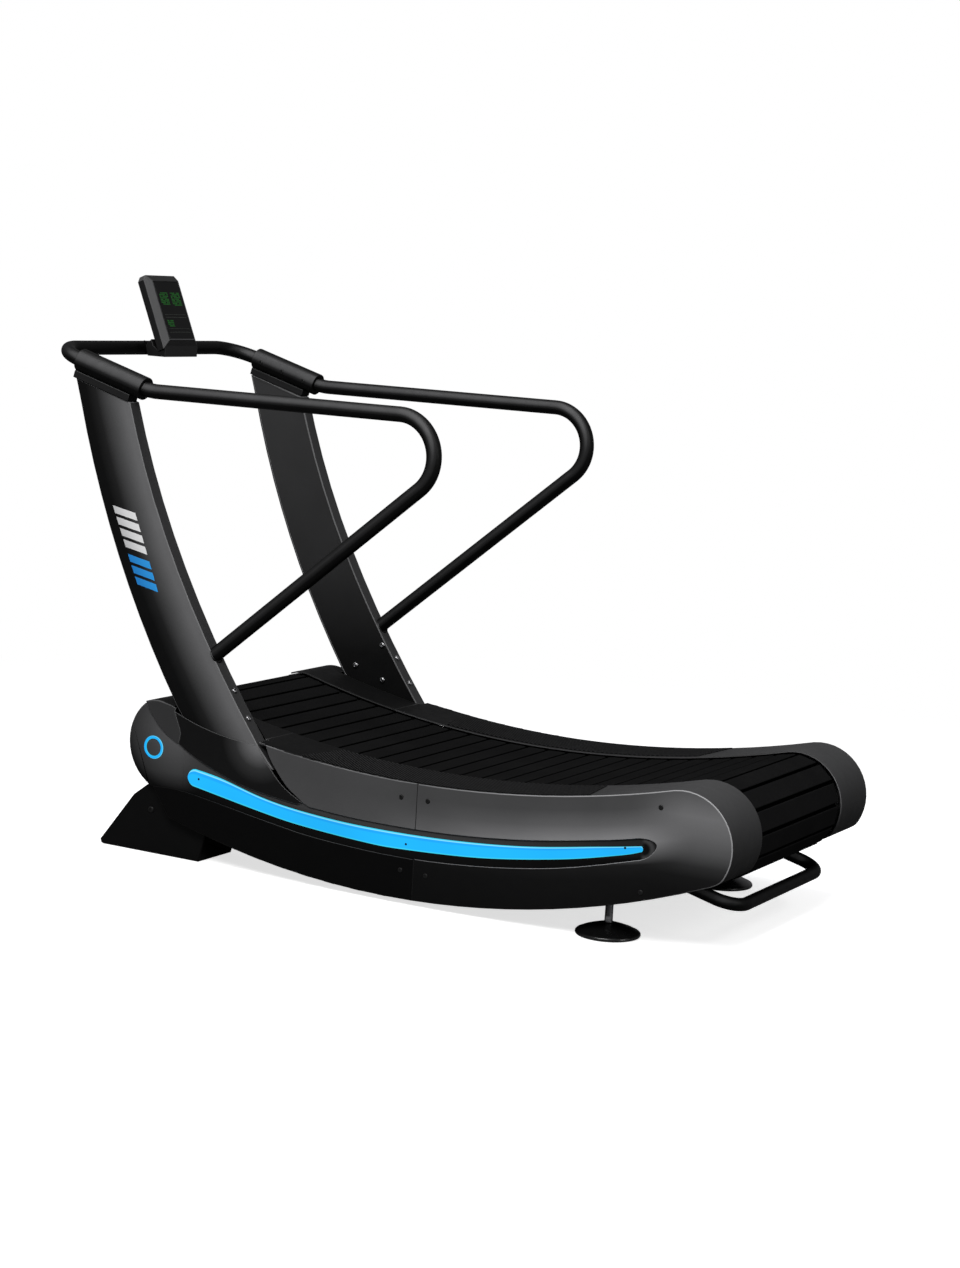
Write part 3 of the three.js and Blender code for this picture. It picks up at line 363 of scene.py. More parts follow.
def cap_panel():
    """The front cap and the light channel that runs on from it: one painted sweep of light and shade in grey,
    with a painted highlight round the slot's rear end.
    """
    made = Surface("cap_gloss", specular=0.15)
    from_hood = made.ramp(made.radial(-0.540, 0.345), [(0.0, 0.150), (0.05, 0.110), (0.11, 0.065),
                                                       (0.145, 0.040), (0.172, 0.006), (1.0, 0.003)])
    cap_tone = made.scale(from_hood, made.remap(made.height(), 0.175, 0.225, 0.25, 1.0))
    below = made.ramp(made.remap(made.below_run(), 0.0, 0.20), [(0.0, 0.060), (0.60, 0.060),
                                                                (0.74, 0.004), (1.0, 0.003)])
    rearward = made.remap(made.along(REARWARD, 0.2, 0.8), 0.0, 1.0, 1.0, 0.35)
    # A painted highlight: a bright ring round the rear end of the light slot.
    slot_end_tone = made.ramp(made.radial(0.788, 0.242), [(0.0, 0.003), (0.012, 0.004), (0.021, 0.080),
                                                          (0.030, 0.012), (1.0, 0.003)])
    slot_end = made.along(REARWARD, 0.778, 0.790)
    channel_tone = made.mix(slot_end, made.scale(below, rearward), slot_end_tone)
    made.clouded(made.mix(made.along(REARWARD, -0.53, -0.45), cap_tone, channel_tone), 6.0, 0.06)
    return made.gloss(35.0, 0.34, 0.44).material


def liner_coat():
    """Powder coat inside the uprights, with painted shade fading it to black towards the deck."""
    made = Surface("liner_powder_coat", specular=0.12)
    up = made.remap(made.height(), 0.30, 1.20)
    tone = made.ramp(up, [(0.0, 0.003), (0.18, 0.006), (0.42, 0.028), (1.0, 0.042)])
    return made.clouded(tone, 7.0, 0.08).gloss(35.0, 0.45, 0.55).grain(900.0, 0.00010).material


def tube_coat():
    """Satin black coat of the bars, with a painted highlight: a soft grey band along their upper outer sides.
    """
    made = Surface("rail_powder_coat", specular=0.10)
    facing = made.maths("MAXIMUM", made.facing((0.22, -0.87, 0.44)), made.facing((0.22, 0.87, 0.44)))
    band = made.ramp(facing, [(0.0, 0.0015), (0.72, 0.003), (0.88, 0.018), (0.97, 0.068), (1.0, 0.076)])
    made.colour(made.scale(band, made.uneven(30.0, 0.92, 1.08)))
    return made.gloss(40.0, 0.42, 0.52).material


def highlighted_edge(name, front, rear, inside, nose=1.0):
    """A painted highlight along rounded edges: bright outside, and only the darker inside tone by the belt,
    at the joint and underneath.
    """
    made = Surface(name, specular=0.15)
    rearward = made.along(REARWARD, -0.60, 0.90)
    outside = made.ramp(rearward, [(0.0, front * nose), (0.16, front), (0.55, front), (1.0, rear)])
    split = made.node("ShaderNodeSeparateXYZ", [("Vector", made.place)])
    reach = made.remap(made.away_from(split.outputs["Y"], 0.0), 0.34, 0.40)
    clear = made.remap(made.away_from(split.outputs["X"], SEAM_X), 0.002, 0.004)
    above = made.remap(made.below_run(), 0.20, 0.24, 1.0, 0.0)
    share = made.maths("MULTIPLY", made.maths("MULTIPLY", reach, clear), above)
    made.colour(made.mix(share, grey(inside), outside))
    return made.gloss(40.0, 0.36, 0.46).material


def brushed_steel():
    made = Surface("brushed_steel", metallic=1.0)
    streaks = made.noise(30.0, 5.0, (1, 1, 40))
    made.colour(made.mix(streaks, grey(0.38), grey(0.56)))
    made.roughness(made.remap(streaks, 0.3, 0.7, 0.24, 0.38))
    made.bump(streaks, 0.00004)
    return made.material


def cast_iron():
    made = Surface("cast_iron", metallic=0.85)
    made.colour(made.mix(made.noise(25.0, 6.0), grey(0.06), grey(0.12)))
    made.bump(made.noise(260.0, 4.0), 0.0004)
    return made.gloss(60.0, 0.5, 0.72).material


def slat_rubber():
    """Moulded rubber with a fine lengthwise tread and a little dust."""
    made = Surface("slat_rubber", specular=0.0)
    made.colour(made.mix(made.noise(9.0, 5.0), grey(0.0060), grey(0.0100)))
    ribs = made.node("ShaderNodeTexWave", [("Vector", made.place), ("Scale", 90.0)], bands_direction="Y")
    made.bump(made.maths("ADD", ribs.outputs["Fac"], made.noise(700.0)), 0.00018)
    return made.gloss(120.0, 0.52, 0.72).material


def grip_sheet():
    """Anti-slip sheet: crossed diagonal hatching over a fine grit."""
    made = Surface("grip_sheet", specular=0.0)
    hatch = []
    for turn in (0.9, -0.9):
        turned = made.node("ShaderNodeMapping", [("Vector", made.place), ("Rotation", (0, 0, turn))])
        links = [("Vector", turned.outputs[0]), ("Scale", 38.0)]
        hatch.append(made.node("ShaderNodeTexWave", links, bands_direction="X").outputs["Fac"])
    crossed = made.maths("MULTIPLY", *hatch)
    grit = made.noise(900.0, 3.0)
    made.colour(made.mix(crossed, grey(0.0030), grey(0.050)))
    made.roughness(made.remap(grit, 0.3, 0.7, 0.6, 0.85))
    made.bump(made.maths("ADD", crossed, grit), 0.0006)
    return made.material


def light_diffuser(name):
    """A lit strip: bright blue with cyan borders, and a painted highlight as a pale line over a deeper blue
    in its upper part.
    """
    made = Surface(name, specular=0.2)
    made.set({"Roughness": 0.4, "Base Color": (0.005, 0.02, 0.04, 1), "Emission Strength": 1.0})
    across = made.node("ShaderNodeAttribute", attribute_name="across").outputs["Fac"]
    deeper = made.remap(made.away_from(across, 0.80), 0.04, 0.12, 0.8, 0.0, "SMOOTHSTEP")
    border = made.remap(made.away_from(across, 0.5), 0.40, 0.47, style="SMOOTHSTEP")
    # gleam is a painted highlight: a pale line near the upper border.
    gleam = made.remap(made.away_from(across, 0.91), 0.015, 0.04, 0.85, 0.0, "SMOOTHSTEP")
    blue = made.mix(deeper, (0.012, 0.47, 0.99, 1), (0.010, 0.36, 0.93, 1))
    edged = made.mix(border, blue, (0.045, 0.64, 0.84, 1))
    lit = made.mix(gleam, edged, (0.32, 0.82, 1.0, 1))
    patches = made.remap(made.noise(3.0, 2.0), 0.35, 0.65, 0.90, 1.05)
    made.tree.links.new(made.scale(lit, patches), made.shader.inputs["Emission Color"])
    return made.material


def glass_black():
    made = Surface("display_glass", specular=0.15, coat=0.1, coat_roughness=0.1)
    made.colour(made.mix(made.noise(12.0, 4.0), grey(0.0015), grey(0.004)))
    return made.gloss(20.0, 0.07, 0.14).material


def lit_segments(name, tone, strength):
    """Display segments: flat colour broken up by the pixel rows of the panel."""
    made = Surface(name, specular=0.2)
    rows = made.node("ShaderNodeTexWave", [("Vector", made.place), ("Scale", 220.0)], bands_direction="Z")
    dim = tuple(channel * 0.5 for channel in tone)
    made.colour(made.mix(rows.outputs["Fac"], (*dim, 1), (*tone, 1)))
    made.set({"Emission Color": (*tone, 1), "Emission Strength": strength, "Roughness": 0.35})
    return made.material


def decal_paint(name, light, dark):
    """Printed foil with painted shade: a soft sweep of tone from one edge of the mark to the other."""
    made = Surface(name, specular=0.3)
    sweep = made.along((1.0, 0, 0.55), -0.32, -0.22)
    made.colour(made.mix(sweep, (*dark, 1), (*light, 1)))
    return made.gloss(80.0, 0.3, 0.45).material


COVER = cover_plastic()
RAIL_TOP = rail_plastic()
SHROUD = shroud_panel()
CAP = cap_panel()
LOWER = mottled("lower_black_plastic", 0.0035, 0.46, 1300.0, 0.00010, specular=0.06)
STAND = mottled("stand_black_plastic", 0.0035, 0.45, 1300.0, 0.00010, specular=0.15)
UPRIGHT_COAT = upright_coat()
FLANGE_COAT = mottled("flange_powder_coat", 0.030, 0.42, 900.0, 0.00010, specular=0.12)
RAIL_COAT = tube_coat()
COVER_EDGE = highlighted_edge("cover_edge", 0.15, 0.32, 0.030)
LOWER_EDGE = highlighted_edge("lower_edge", 0.055, 0.080, 0.006, nose=0.1)
SHROUD_EDGE = highlighted_edge("shroud_edge", 0.10, 0.10, 0.020)
COAT_EDGE = highlighted_edge("coat_edge", 0.16, 0.16, 0.050)
FRAME_COAT = mottled("frame_powder_coat", 0.012, 0.5, 700.0, 0.00015, specular=0.4)
STEEL = brushed_steel()
IRON = cast_iron()
SLATS = slat_rubber()
CARRIER = mottled("drive_belt_rubber", 0.0008, 0.8, 400.0, 0.0002, specular=0.0)
GRIP = grip_sheet()
LIGHT = light_diffuser("blue_diffuser")
GLASS = glass_black()
TYRE = mottled("wheel_rubber", 0.008, 0.7, 500.0, 0.0002, specular=0.3)
FOOT_RUBBER = mottled("foot_rubber", 0.004, 0.30, 400.0, 0.00006, specular=0.5)
BRACKET = mottled("bracket_plastic", 0.006, 0.45, 1300.0, 0.0001, specular=0.35)
BOLT = mottled("black_screw_steel", 0.010, 0.35, 600.0, 0.00003, specular=0.3)
BOLT_BRIGHT = mottled("polished_bolt_steel", 0.32, 0.22, 600.0, 0.00002, metallic=1.0)
HOOD = mottled("hood_plastic", 0.045, 0.5, 1300.0, 0.00010, specular=0.1)
LINER_COAT = liner_coat()
BODY_BLACK = mottled("console_black", 0.010, 0.42, 1400.0, 0.0001, specular=0.25)
BEZEL = mottled("bezel_plastic", 0.055, 0.45, 1400.0, 0.0001, specular=0.3)
LENS_GLINT = mottled("lens_edge_glint", 0.35, 0.3, 300.0, 0.00002, metallic=1.0)
SEGMENT = lit_segments("segment_green", (0.010, 0.085, 0.012), 0.10)
LINE = lit_segments("segment_line", (0.05, 0.055, 0.05), 0.05)
FOIL_WHITE = decal_paint("foil_white", (1.0, 1.0, 1.0), (0.55, 0.55, 0.56))
FOIL_BLUE = decal_paint("foil_blue", (0.04, 0.42, 1.0), (0.02, 0.24, 0.70))

BY_SLOT = {
    "slat_rubber": SLATS, "drive_belt_rubber": CARRIER, "bright_steel": STEEL, "cast_iron": IRON,
    "frame_paint": FRAME_COAT, "rail_paint": RAIL_COAT, "upright_paint": UPRIGHT_COAT,
    "grey_plastic": COVER, "black_plastic": CAP, "stand_plastic": STAND, "blue_light": LIGHT,
    "grip_tape": GRIP, "wheel_rubber": TYRE, "foot_rubber": FOOT_RUBBER, "bracket_plastic": BRACKET,
    "display_glass": GLASS,
}
for node_name, node_object in frame["nodes"].items():
    node_object.data.materials.clear()
    node_object.data.materials.append(BY_SLOT[SLOT_OF[node_name]])


# ---- building blocks ------------------------------------------------------------------------
def added(name, data):
    """A new object in the scene."""
    made = bpy.data.objects.new(name, data)
    bpy.context.scene.collection.objects.link(made)
    return made


def mesh_of(name, work, materials):
    """A mesh with its finishes, made from a bmesh that is then freed."""
    mesh = bpy.data.meshes.new(name)
    work.to_mesh(mesh)
    work.free()
    for material in materials:
        mesh.materials.append(material)
    return mesh


def place(name, work, like, materials, replaced=(), smooth=35, weighted=True):
    """Turns a bmesh into a piece that rides with a CAD node, with the finishes it is given."""
    bmesh.ops.recalc_face_normals(work, faces=work.faces)
    mesh = mesh_of(name, work, materials)
    piece = added(name, mesh)
    mesh.polygons.foreach_set("use_smooth", [True] * len(mesh.polygons))
    mesh.set_sharp_from_angle(angle=math.radians(smooth))
    if weighted:
        piece.modifiers.new("weighted", "WEIGHTED_NORMAL").keep_sharp = True
    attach(piece, BODY_OF[like])
    if replaced:
        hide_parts(*replaced)
    return piece


def copy_of(node):
    """The CAD mesh of a node, welded, with its flat faces whole again."""
    source = frame["nodes"][node].data
    work = bmesh.new()
    corners = [work.verts.new(vertex.co) for vertex in source.vertices]
    for polygon in source.polygons:
        work.faces.new([corners[i] for i in polygon.vertices])
    bmesh.ops.remove_doubles(work, verts=work.verts, dist=0.00002)
    bmesh.ops.dissolve_limit(work, angle_limit=math.radians(0.5), verts=work.verts, edges=work.edges)
    return work


def refined(node, materials, fine=0.0010, rim=0.0030, deep=0.03, paint=None, keep_x=None, edge_highlight=None):
    """A CAD piece with every edge rounded: finely at its joints, more along its outer rim."""
    work = copy_of(node)
    reach = max(abs(vertex.co.y) for vertex in work.verts)
    weight = work.edges.layers.float.new("bevel_weight_edge")
    for edge in work.edges:
        if not edge.is_manifold or edge.calc_face_angle() < math.radians(27):
            continue
        outside = all(abs(vertex.co.y) > reach - 0.0003 for vertex in edge.verts)
        spans = [[vertex.co.y for vertex in face.verts] for face in edge.link_faces]
        widths = [max(span) - min(span) for span in spans]
        at_seam = keep_x is not None and all(abs(v.co.x - keep_x) < 0.001 for v in edge.verts)
        edge[weight] = 1.0 if outside and max(widths) > deep and not at_seam else fine / rim
    if paint:
        for face in work.faces:
            face.material_index = paint(face)
    finishes = materials + ([edge_highlight] if edge_highlight else [])
    piece = place(f"{node}_finished", work, node, finishes, [node], weighted=False)
    bevel = piece.modifiers.new("rounded", "BEVEL")
    # The rounded faces take the painted edge highlight.
    if edge_highlight:
        bevel.material = len(materials)
    bevel.limit_method = "WEIGHT"
    bevel.width = rim
    bevel.segments = 3
    bevel.use_clamp_overlap = False
    piece.modifiers.new("weighted", "WEIGHTED_NORMAL").keep_sharp = True
    return piece


def full_turn(count):
    """Angles that divide a full turn evenly."""
    return [2 * math.pi * k / count for k in range(count)]


def skin(work, rings, material=0, closed=True):
    """Faces between each ring of corners and the next. A material may be a function of the corner."""
    for ring, following in zip(rings, rings[1:]):
        for k in range(len(ring) if closed else len(ring) - 1):
            after = (k + 1) % len(ring)
            face = work.faces.new([ring[k], ring[after], following[after], following[k]])
            face.material_index = material(k) if callable(material) else material


def prism(work, low, high, material):
    """A flat solid between two outlines."""
    under = [work.verts.new(corner) for corner in low]
    over = [work.verts.new(corner) for corner in high]
    work.faces.new(over).material_index = material
    work.faces.new(under[::-1]).material_index = material
    skin(work, [under, over], material)


def sweep(work, path, radius, sides=32):
    """A round bar along a path, with flat ends."""
    across = (path[1] - path[0]).orthogonal().normalized()
    rings = []
    for i, centre in enumerate(path):
        before = path[max(i - 1, 0)]
        after = path[min(i + 1, len(path) - 1)]
        ahead = (after - before).normalized()
        across = (across - ahead * across.dot(ahead)).normalized()
        up = ahead.cross(across)
        wide = radius
        if 0 < i < len(path) - 1:
            bend = (centre - before).normalized().angle((after - centre).normalized(), 0.0)
            wide = radius / math.sqrt(math.cos(bend / 2))
        rings.append([work.verts.new(centre + wide * (math.cos(turn) * across + math.sin(turn) * up))
                      for turn in full_turn(sides)])
    skin(work, rings)
    work.faces.new(rings[0][::-1])
    work.faces.new(rings[-1])


def lathe(work, profile, origin, axis, sides=32, material=0, shape=None):
    """A turned form. Its profile is (radius, height) pairs; shape(ring, turn) may scale a radius."""
    turn_to_axis = Vector((0, 0, 1)).rotation_difference(Vector(axis)).to_matrix()
    rings = []
    for number, (radius, height) in enumerate(profile):
        if radius < 1e-7:
            rings.append([work.verts.new(Vector(origin) + turn_to_axis @ Vector((0, 0, height)))])
            continue
        ring = []
        for turn in full_turn(sides):
            scale = shape(number, turn) if shape else 1.0
            local = Vector((radius * scale * math.cos(turn), radius * scale * math.sin(turn), height))
            ring.append(work.verts.new(Vector(origin) + turn_to_axis @ local))
        rings.append(ring)
    for low, high in zip(rings, rings[1:]):
        for k in range(sides):
            after = (k + 1) % sides
            corners = [low[k % len(low)], low[after % len(low)], high[after % len(high)], high[k % len(high)]]
            face = work.faces.new(list(dict.fromkeys(corners)))
            face.material_index = material


def rounded(corners, radius, steps):
    """Rounds the inner corners of a line of straight stretches."""
    path = [corners[0]]
    for before, corner, after in zip(corners, corners[1:], corners[2:]):
        back = (before - corner).normalized()
        ahead = (after - corner).normalized()
        half = back.angle(ahead) / 2
        centre = corner + (back + ahead).normalized() * (radius / math.sin(half))
        start = corner + back * (radius / math.tan(half)) - centre
        end = corner + ahead * (radius / math.tan(half)) - centre
        turn = math.pi - 2 * half
        for k in range(steps + 1):
            share = k / steps
            first = math.sin(turn * (1 - share)) / math.sin(turn)
            second = math.sin(turn * share) / math.sin(turn)
            path.append(centre + start * first + end * second)
    path.append(corners[-1])
    return path


def spline(points, steps):
    """A smooth line through a few points of the X-Z plane."""
    line = []
    last = len(points) - 1
    for step in range(steps + 1):
        position = min(step / steps * last, last - 1e-9)
        i = int(position)
        t = position - i
        p0, p1 = Vector(points[max(i - 1, 0)]), Vector(points[i])
        p2, p3 = Vector(points[min(i + 1, last)]), Vector(points[min(i + 2, last)])
        v0, v1 = (p2 - p0) / 2, (p3 - p1) / 2
        line.append((2 * p1 - 2 * p2 + v0 + v1) * t ** 3 + (-3 * p1 + 3 * p2 - 2 * v0 - v1) * t ** 2
                    + v0 * t + p1)
    return line


# ---- the belt -------------------------------------------------------------------------------
def slat_section(width):
    """Half-round edges on top, straight sides: (distance along, height) from the slat's middle."""
    half = width / 2
    section = []
    for side in (-1, 1):
        for k in range(5):
            turn = math.radians(90 * k / 4) if side > 0 else math.radians(90 - 90 * k / 4)
            along = side * (half - SLAT_EDGE + SLAT_EDGE * math.sin(turn))
            section.append((along, -SLAT_EDGE + SLAT_EDGE * math.cos(turn)))
    return section + [(half, -SLAT_SEAM_DEPTH), (-half, -SLAT_SEAM_DEPTH)]


def belt_slats():
    """One rounded slat after another round the loop. Their sides are given the band's near-black as painted
    shade in the gaps.
    """
    work = bmesh.new()
    for i in range(SLAT_COUNT):
        start = loop_point(i * SLAT_PITCH + SLAT_SEAM / 2, 0)
        end = loop_point((i + 1) * SLAT_PITCH - SLAT_SEAM / 2, 0)
        along = (end - start).normalized()
        up = along.cross(Vector((0, 1, 0)))
        inward = loop_point((i + 0.5) * SLAT_PITCH, -0.01) - loop_point((i + 0.5) * SLAT_PITCH, 0)
        if up.dot(inward) > 0:
            up = -up
        middle = (start + end) / 2
        section = slat_section((end - start).length)
        rings = []
        for y, inset, shrink in ((-1, 0.0, SLAT_CHAMFER), (-1, SLAT_CHAMFER, 0.0), (1, SLAT_CHAMFER, 0.0),
                                 (1, 0.0, SLAT_CHAMFER)):
            ring = []
            for u, v in section:
                v_in = max(min(v, -shrink), -SLAT_SEAM_DEPTH + shrink) if shrink else v
                at = middle + along * (u - math.copysign(shrink, u)) + up * v_in
                ring.append(work.verts.new((at.x, y * (BELT_HALF_WIDTH - inset), at.z)))
            rings.append(ring)
        last_on_top = len(section) - 3
        # Side faces take the carrier's near-black: painted shade in the gaps between slats.
        skin(work, rings, material=lambda k: 1 if k >= last_on_top else 0)
        work.faces.new(rings[0])
        work.faces.new(rings[-1][::-1])
    return place("belt_slats", work, "slat_belt", [SLATS, CARRIER], ["slat_belt"], smooth=50)


def belt_carrier():
    """The band under the slats that the drive belts carry."""
    work = bmesh.new()
    rows = []
    for i in range(SLAT_COUNT * 2):
        distance = i * SLAT_PITCH / 2
        outer = loop_point(distance, -SLAT_SEAM_DEPTH + 0.0004)
        inner = loop_point(distance, -SLAT_THICKNESS)
        reach = BELT_HALF_WIDTH - 0.002
        corners = ((outer, -reach), (outer, reach), (inner, reach), (inner, -reach))
        rows.append([work.verts.new((at.x, y, at.z)) for at, y in corners])
    skin(work, rows + [rows[0]])
    return place("belt_carrier", work, "slat_belt", [CARRIER])


# ---- bars and tubes -------------------------------------------------------------------------
SLEEVE_AXIS = Vector((-math.cos(SLEEVE_SLOPE), math.sin(SLEEVE_SLOPE)))
SLEEVE_MIDDLE = SLEEVE_REAR + SLEEVE_AXIS * (SLEEVE_LENGTH / 2)


def on_rail(at, sign):
    return Vector((at[0], sign * RAIL_Y, at[1]))


def handrail(name, sign):
    """Out of the sleeve, level, round the rear bend and back down to a weld on the upright's flange."""
    node = f"handrail_{name}"
    slope = math.tan(SLEEVE_SLOPE)
    kink_x = SLEEVE_REAR.x + (SLEEVE_REAR.y - RAIL_LEVEL) / slope
    before_kink = (kink_x - RAIL_KINK, RAIL_LEVEL + RAIL_KINK * slope)
    path = [on_rail(SLEEVE_MIDDLE - SLEEVE_AXIS * 0.002, sign)]
    for step in range(7):
        at = bezier(before_kink, (kink_x, RAIL_LEVEL), (kink_x + RAIL_KINK, RAIL_LEVEL), step / 6)
        path.append(on_rail(at, sign))
    centre = Vector((RAIL_BEND["x"], RAIL_LEVEL - RAIL_BEND["r"]))
    for step in range(33):
        turn = math.pi / 2 - (math.pi - RAIL_RETURN) * step / 32
        path.append(on_rail(centre + RAIL_BEND["r"] * Vector((math.cos(turn), math.sin(turn))), sign))
    heading = Vector((-math.cos(RAIL_RETURN), 0, -math.sin(RAIL_RETURN)))
    foot = Vector((RAIL_FOOT["x"], sign * RAIL_Y, RAIL_FOOT["z"]))
    path.append(path[-1] + heading * ((foot - path[-1]).dot(heading) + 0.03))
    work = bmesh.new()
    sweep(work, path, RAIL_RADIUS)
    on_flange, flange = flange_frame(RAIL_FOOT["z"])
    normal = Vector((flange.x, 0, flange.y))
    cut = Vector((on_flange.x, 0, on_flange.y)) + normal * 0.0004
    everything = work.verts[:] + work.edges[:] + work.faces[:]
    bmesh.ops.bisect_plane(work, geom=everything, plane_co=cut, plane_no=-normal, clear_outer=True)
    bmesh.ops.holes_fill(work, edges=[edge for edge in work.edges if edge.is_boundary])
    place(f"{node}_bar", work, node, [RAIL_COAT], [node])
    into = heading.dot(normal)
    hit = foot - heading * ((foot - cut).dot(normal) / into)
    long_way = (heading - normal * into).normalized() * (RAIL_RADIUS / abs(into))
    short_way = Vector((0, RAIL_RADIUS, 0))
    bead = [hit + long_way * math.cos(turn) + short_way * math.sin(turn) for turn in full_turn(40)]
    weld = bmesh.new()
    sweep(weld, bead + [bead[0]], WELD_RADIUS, 8)
    place(f"{node}_weld", weld, node, [RAIL_COAT])


def flange_frame(height):
    """The point of an upright's rear flange at a height, and the direction it faces."""
    low, high = 0.0, 1.0
    for _ in range(40):
        middle = (low + high) / 2
        if bezier(*UPRIGHT_REAR_EDGE, middle).y < height:
            low = middle
        else:
            high = middle
    tangent = bezier(*UPRIGHT_REAR_EDGE, low + 0.001) - bezier(*UPRIGHT_REAR_EDGE, low - 0.001)
    return bezier(*UPRIGHT_REAR_EDGE, low), Vector((tangent.y, -tangent.x)).normalized()


def bent_bar(node, corners, bend, steps, radius):
    """A bar along a line of straight stretches, with a round bend at each corner."""
    work = bmesh.new()
    sweep(work, rounded(corners, bend, steps), radius)
    place(f"{node}_bar", work, node, [RAIL_COAT], [node])


def crossbar():
    start = SLEEVE_MIDDLE + SLEEVE_AXIS * 0.002
    front_z = SLEEVE_REAR.y - (CROSSBAR_X - SLEEVE_REAR.x) * math.tan(SLEEVE_SLOPE)
    corners = [on_rail(start, -1), on_rail((CROSSBAR_X, front_z), -1),
               on_rail((CROSSBAR_X, front_z), 1), on_rail(start, 1)]
    bent_bar("crossbar", corners, CROSSBAR_BEND, 20, RAIL_RADIUS)


def lift_handle():
    root, tip = HANDLE_ROOT, HANDLE
    corners = [Vector((root["x"], -tip["y"], root["z"])), Vector((tip["x"], -tip["y"], tip["z"])),
               Vector((tip["x"], tip["y"], tip["z"])), Vector((root["x"], tip["y"], root["z"]))]
    bent_bar("lift_handle", corners, tip["bend"], 16, tip["r"])


# ---- lights ---------------------------------------------------------------------------------
def paint_across(piece, values):
    """Keeps, on every vertex, how far across the strip it lies: 0 at one border, 1 at the other."""
    layer = piece.data.attributes.new("across", "FLOAT", "POINT")
    layer.data.foreach_set("value", values)


def round_end(top, bottom, reach, at_start):
    """Carries both borders of a strip on to a blunt round end."""
    last = 0 if at_start else -1
    centre, half = (top[last] + bottom[last]) / 2, (top[last] - bottom[last]) / 2
    for k in range(1, 6):
        turn = math.radians(90 * k / 5)
        middle = centre + Vector((reach * math.sin(turn), 0))
        rise = half * max(math.cos(turn), 0.12)
        top.insert(0 if at_start else len(top), middle + rise)
        bottom.insert(0 if at_start else len(bottom), middle - rise)


def light_strip(name, sign):
    """A shallow domed diffuser between two border lines, closed by round ends."""
    steps, lanes = 90, 12
    top = spline(LIGHT_TOP, steps)
    bottom = spline(LIGHT_BOTTOM, steps)
    round_end(top, bottom, -(top[0] - bottom[0]).length / 2, at_start=True)
    round_end(top, bottom, LIGHT_TIP, at_start=False)
    work = bmesh.new()
    across = []
    rows = []
    for high, low in zip(top, bottom):
        row = []
        for lane in range(lanes + 1):
            share = lane / lanes
            at = low.lerp(high, share)
            dome = math.sin(math.pi * share) ** 0.35 * min(LIGHT_DOME, (high - low).length * 0.25)
            row.append(work.verts.new((at.x, sign * (PANEL_OUTER + LIFT + dome), at.y)))
            across.append(share)
        rows.append(row)
    skin(work, rows, closed=False)
    rim = [row[0] for row in rows] + rows[-1][1:] + [row[-1] for row in rows[::-1]][1:] + rows[0][1:-1][::-1]
    work.faces.new(rim)
    node = f"light_strip_{name}"
    piece = place(f"{node}_diffuser", work, node, [LIGHT], [node], smooth=80, weighted=False)
    paint_across(piece, across)


def ring_light(name, sign):
    """A ring of the same diffuser, with a rounded face."""
    sides, lanes = 64, 10
    node = f"ring_light_{name}"
    work = bmesh.new()
    across = []
    rings = []
    for lane in range(lanes + 1):
        share = lane / lanes
        radius = RING_LIGHT["inner"] + (RING_LIGHT["outer"] - RING_LIGHT["inner"]) * share
        y = sign * (PANEL_OUTER + LIFT + LIGHT_DOME * math.sin(math.pi * share) ** 0.5)
        rings.append([work.verts.new((RING_LIGHT["x"] + radius * math.cos(turn), y,
                                      RING_LIGHT["z"] + radius * math.sin(turn)))
                      for turn in full_turn(sides)])
        across += [share] * sides
    skin(work, rings + [rings[0]])
    piece = place(f"{node}_diffuser", work, node, [LIGHT], [node], smooth=80, weighted=False)
    paint_across(piece, across)


# ---- floor contacts -------------------------------------------------------------------------
def levelling_foot(name, sign):
    """A rubber dome with a rolled rim, on a threaded steel stem."""
    node = f"levelling_foot_{name}"
    origin = (FOOT["x"], sign * FOOT["y"], 0)
    r, stem, top = FOOT["radius"], FOOT["stem"], FOOT["top"]
    work = bmesh.new()
    rim = [(0, 0), (r - 0.006, 0), (r - 0.002, 0.0012), (r, 0.004), (r - 0.0004, 0.0075),
           (r - 0.003, 0.0102), (r - 0.007, 0.0118)]
    dome = [(r * 0.8, 0.0162), (r * 0.62, 0.0212), (r * 0.42, 0.0262), (0.022, 0.0288),
            (0.0155, 0.0302), (0.0135, 0.0325), (0, 0.0325)]
    lathe(work, rim + dome, origin, (0, 0, 1), 48)
    place(f"{node}_dome", work, node, [FOOT_RUBBER], [node], smooth=40)
    work = bmesh.new()
    thread = [(0, 0.030), (stem - 0.001, 0.030), (stem, 0.031), (stem, 0.046)]
    height = 0.046
    while height < top - 0.004:
        thread += [(stem - 0.0009, height + 0.0006), (stem, height + 0.0016)]
        height += 0.002
    lathe(work, thread + [(stem - 0.001, top), (0, top)], origin, (0, 0, 1), 24)
    place(f"{node}_stem", work, node, [STEEL], smooth=60)


def mirrored(profile):
    """The same turned profile on the other side of the wheel."""
    return [(radius, -height) for radius, height in profile]


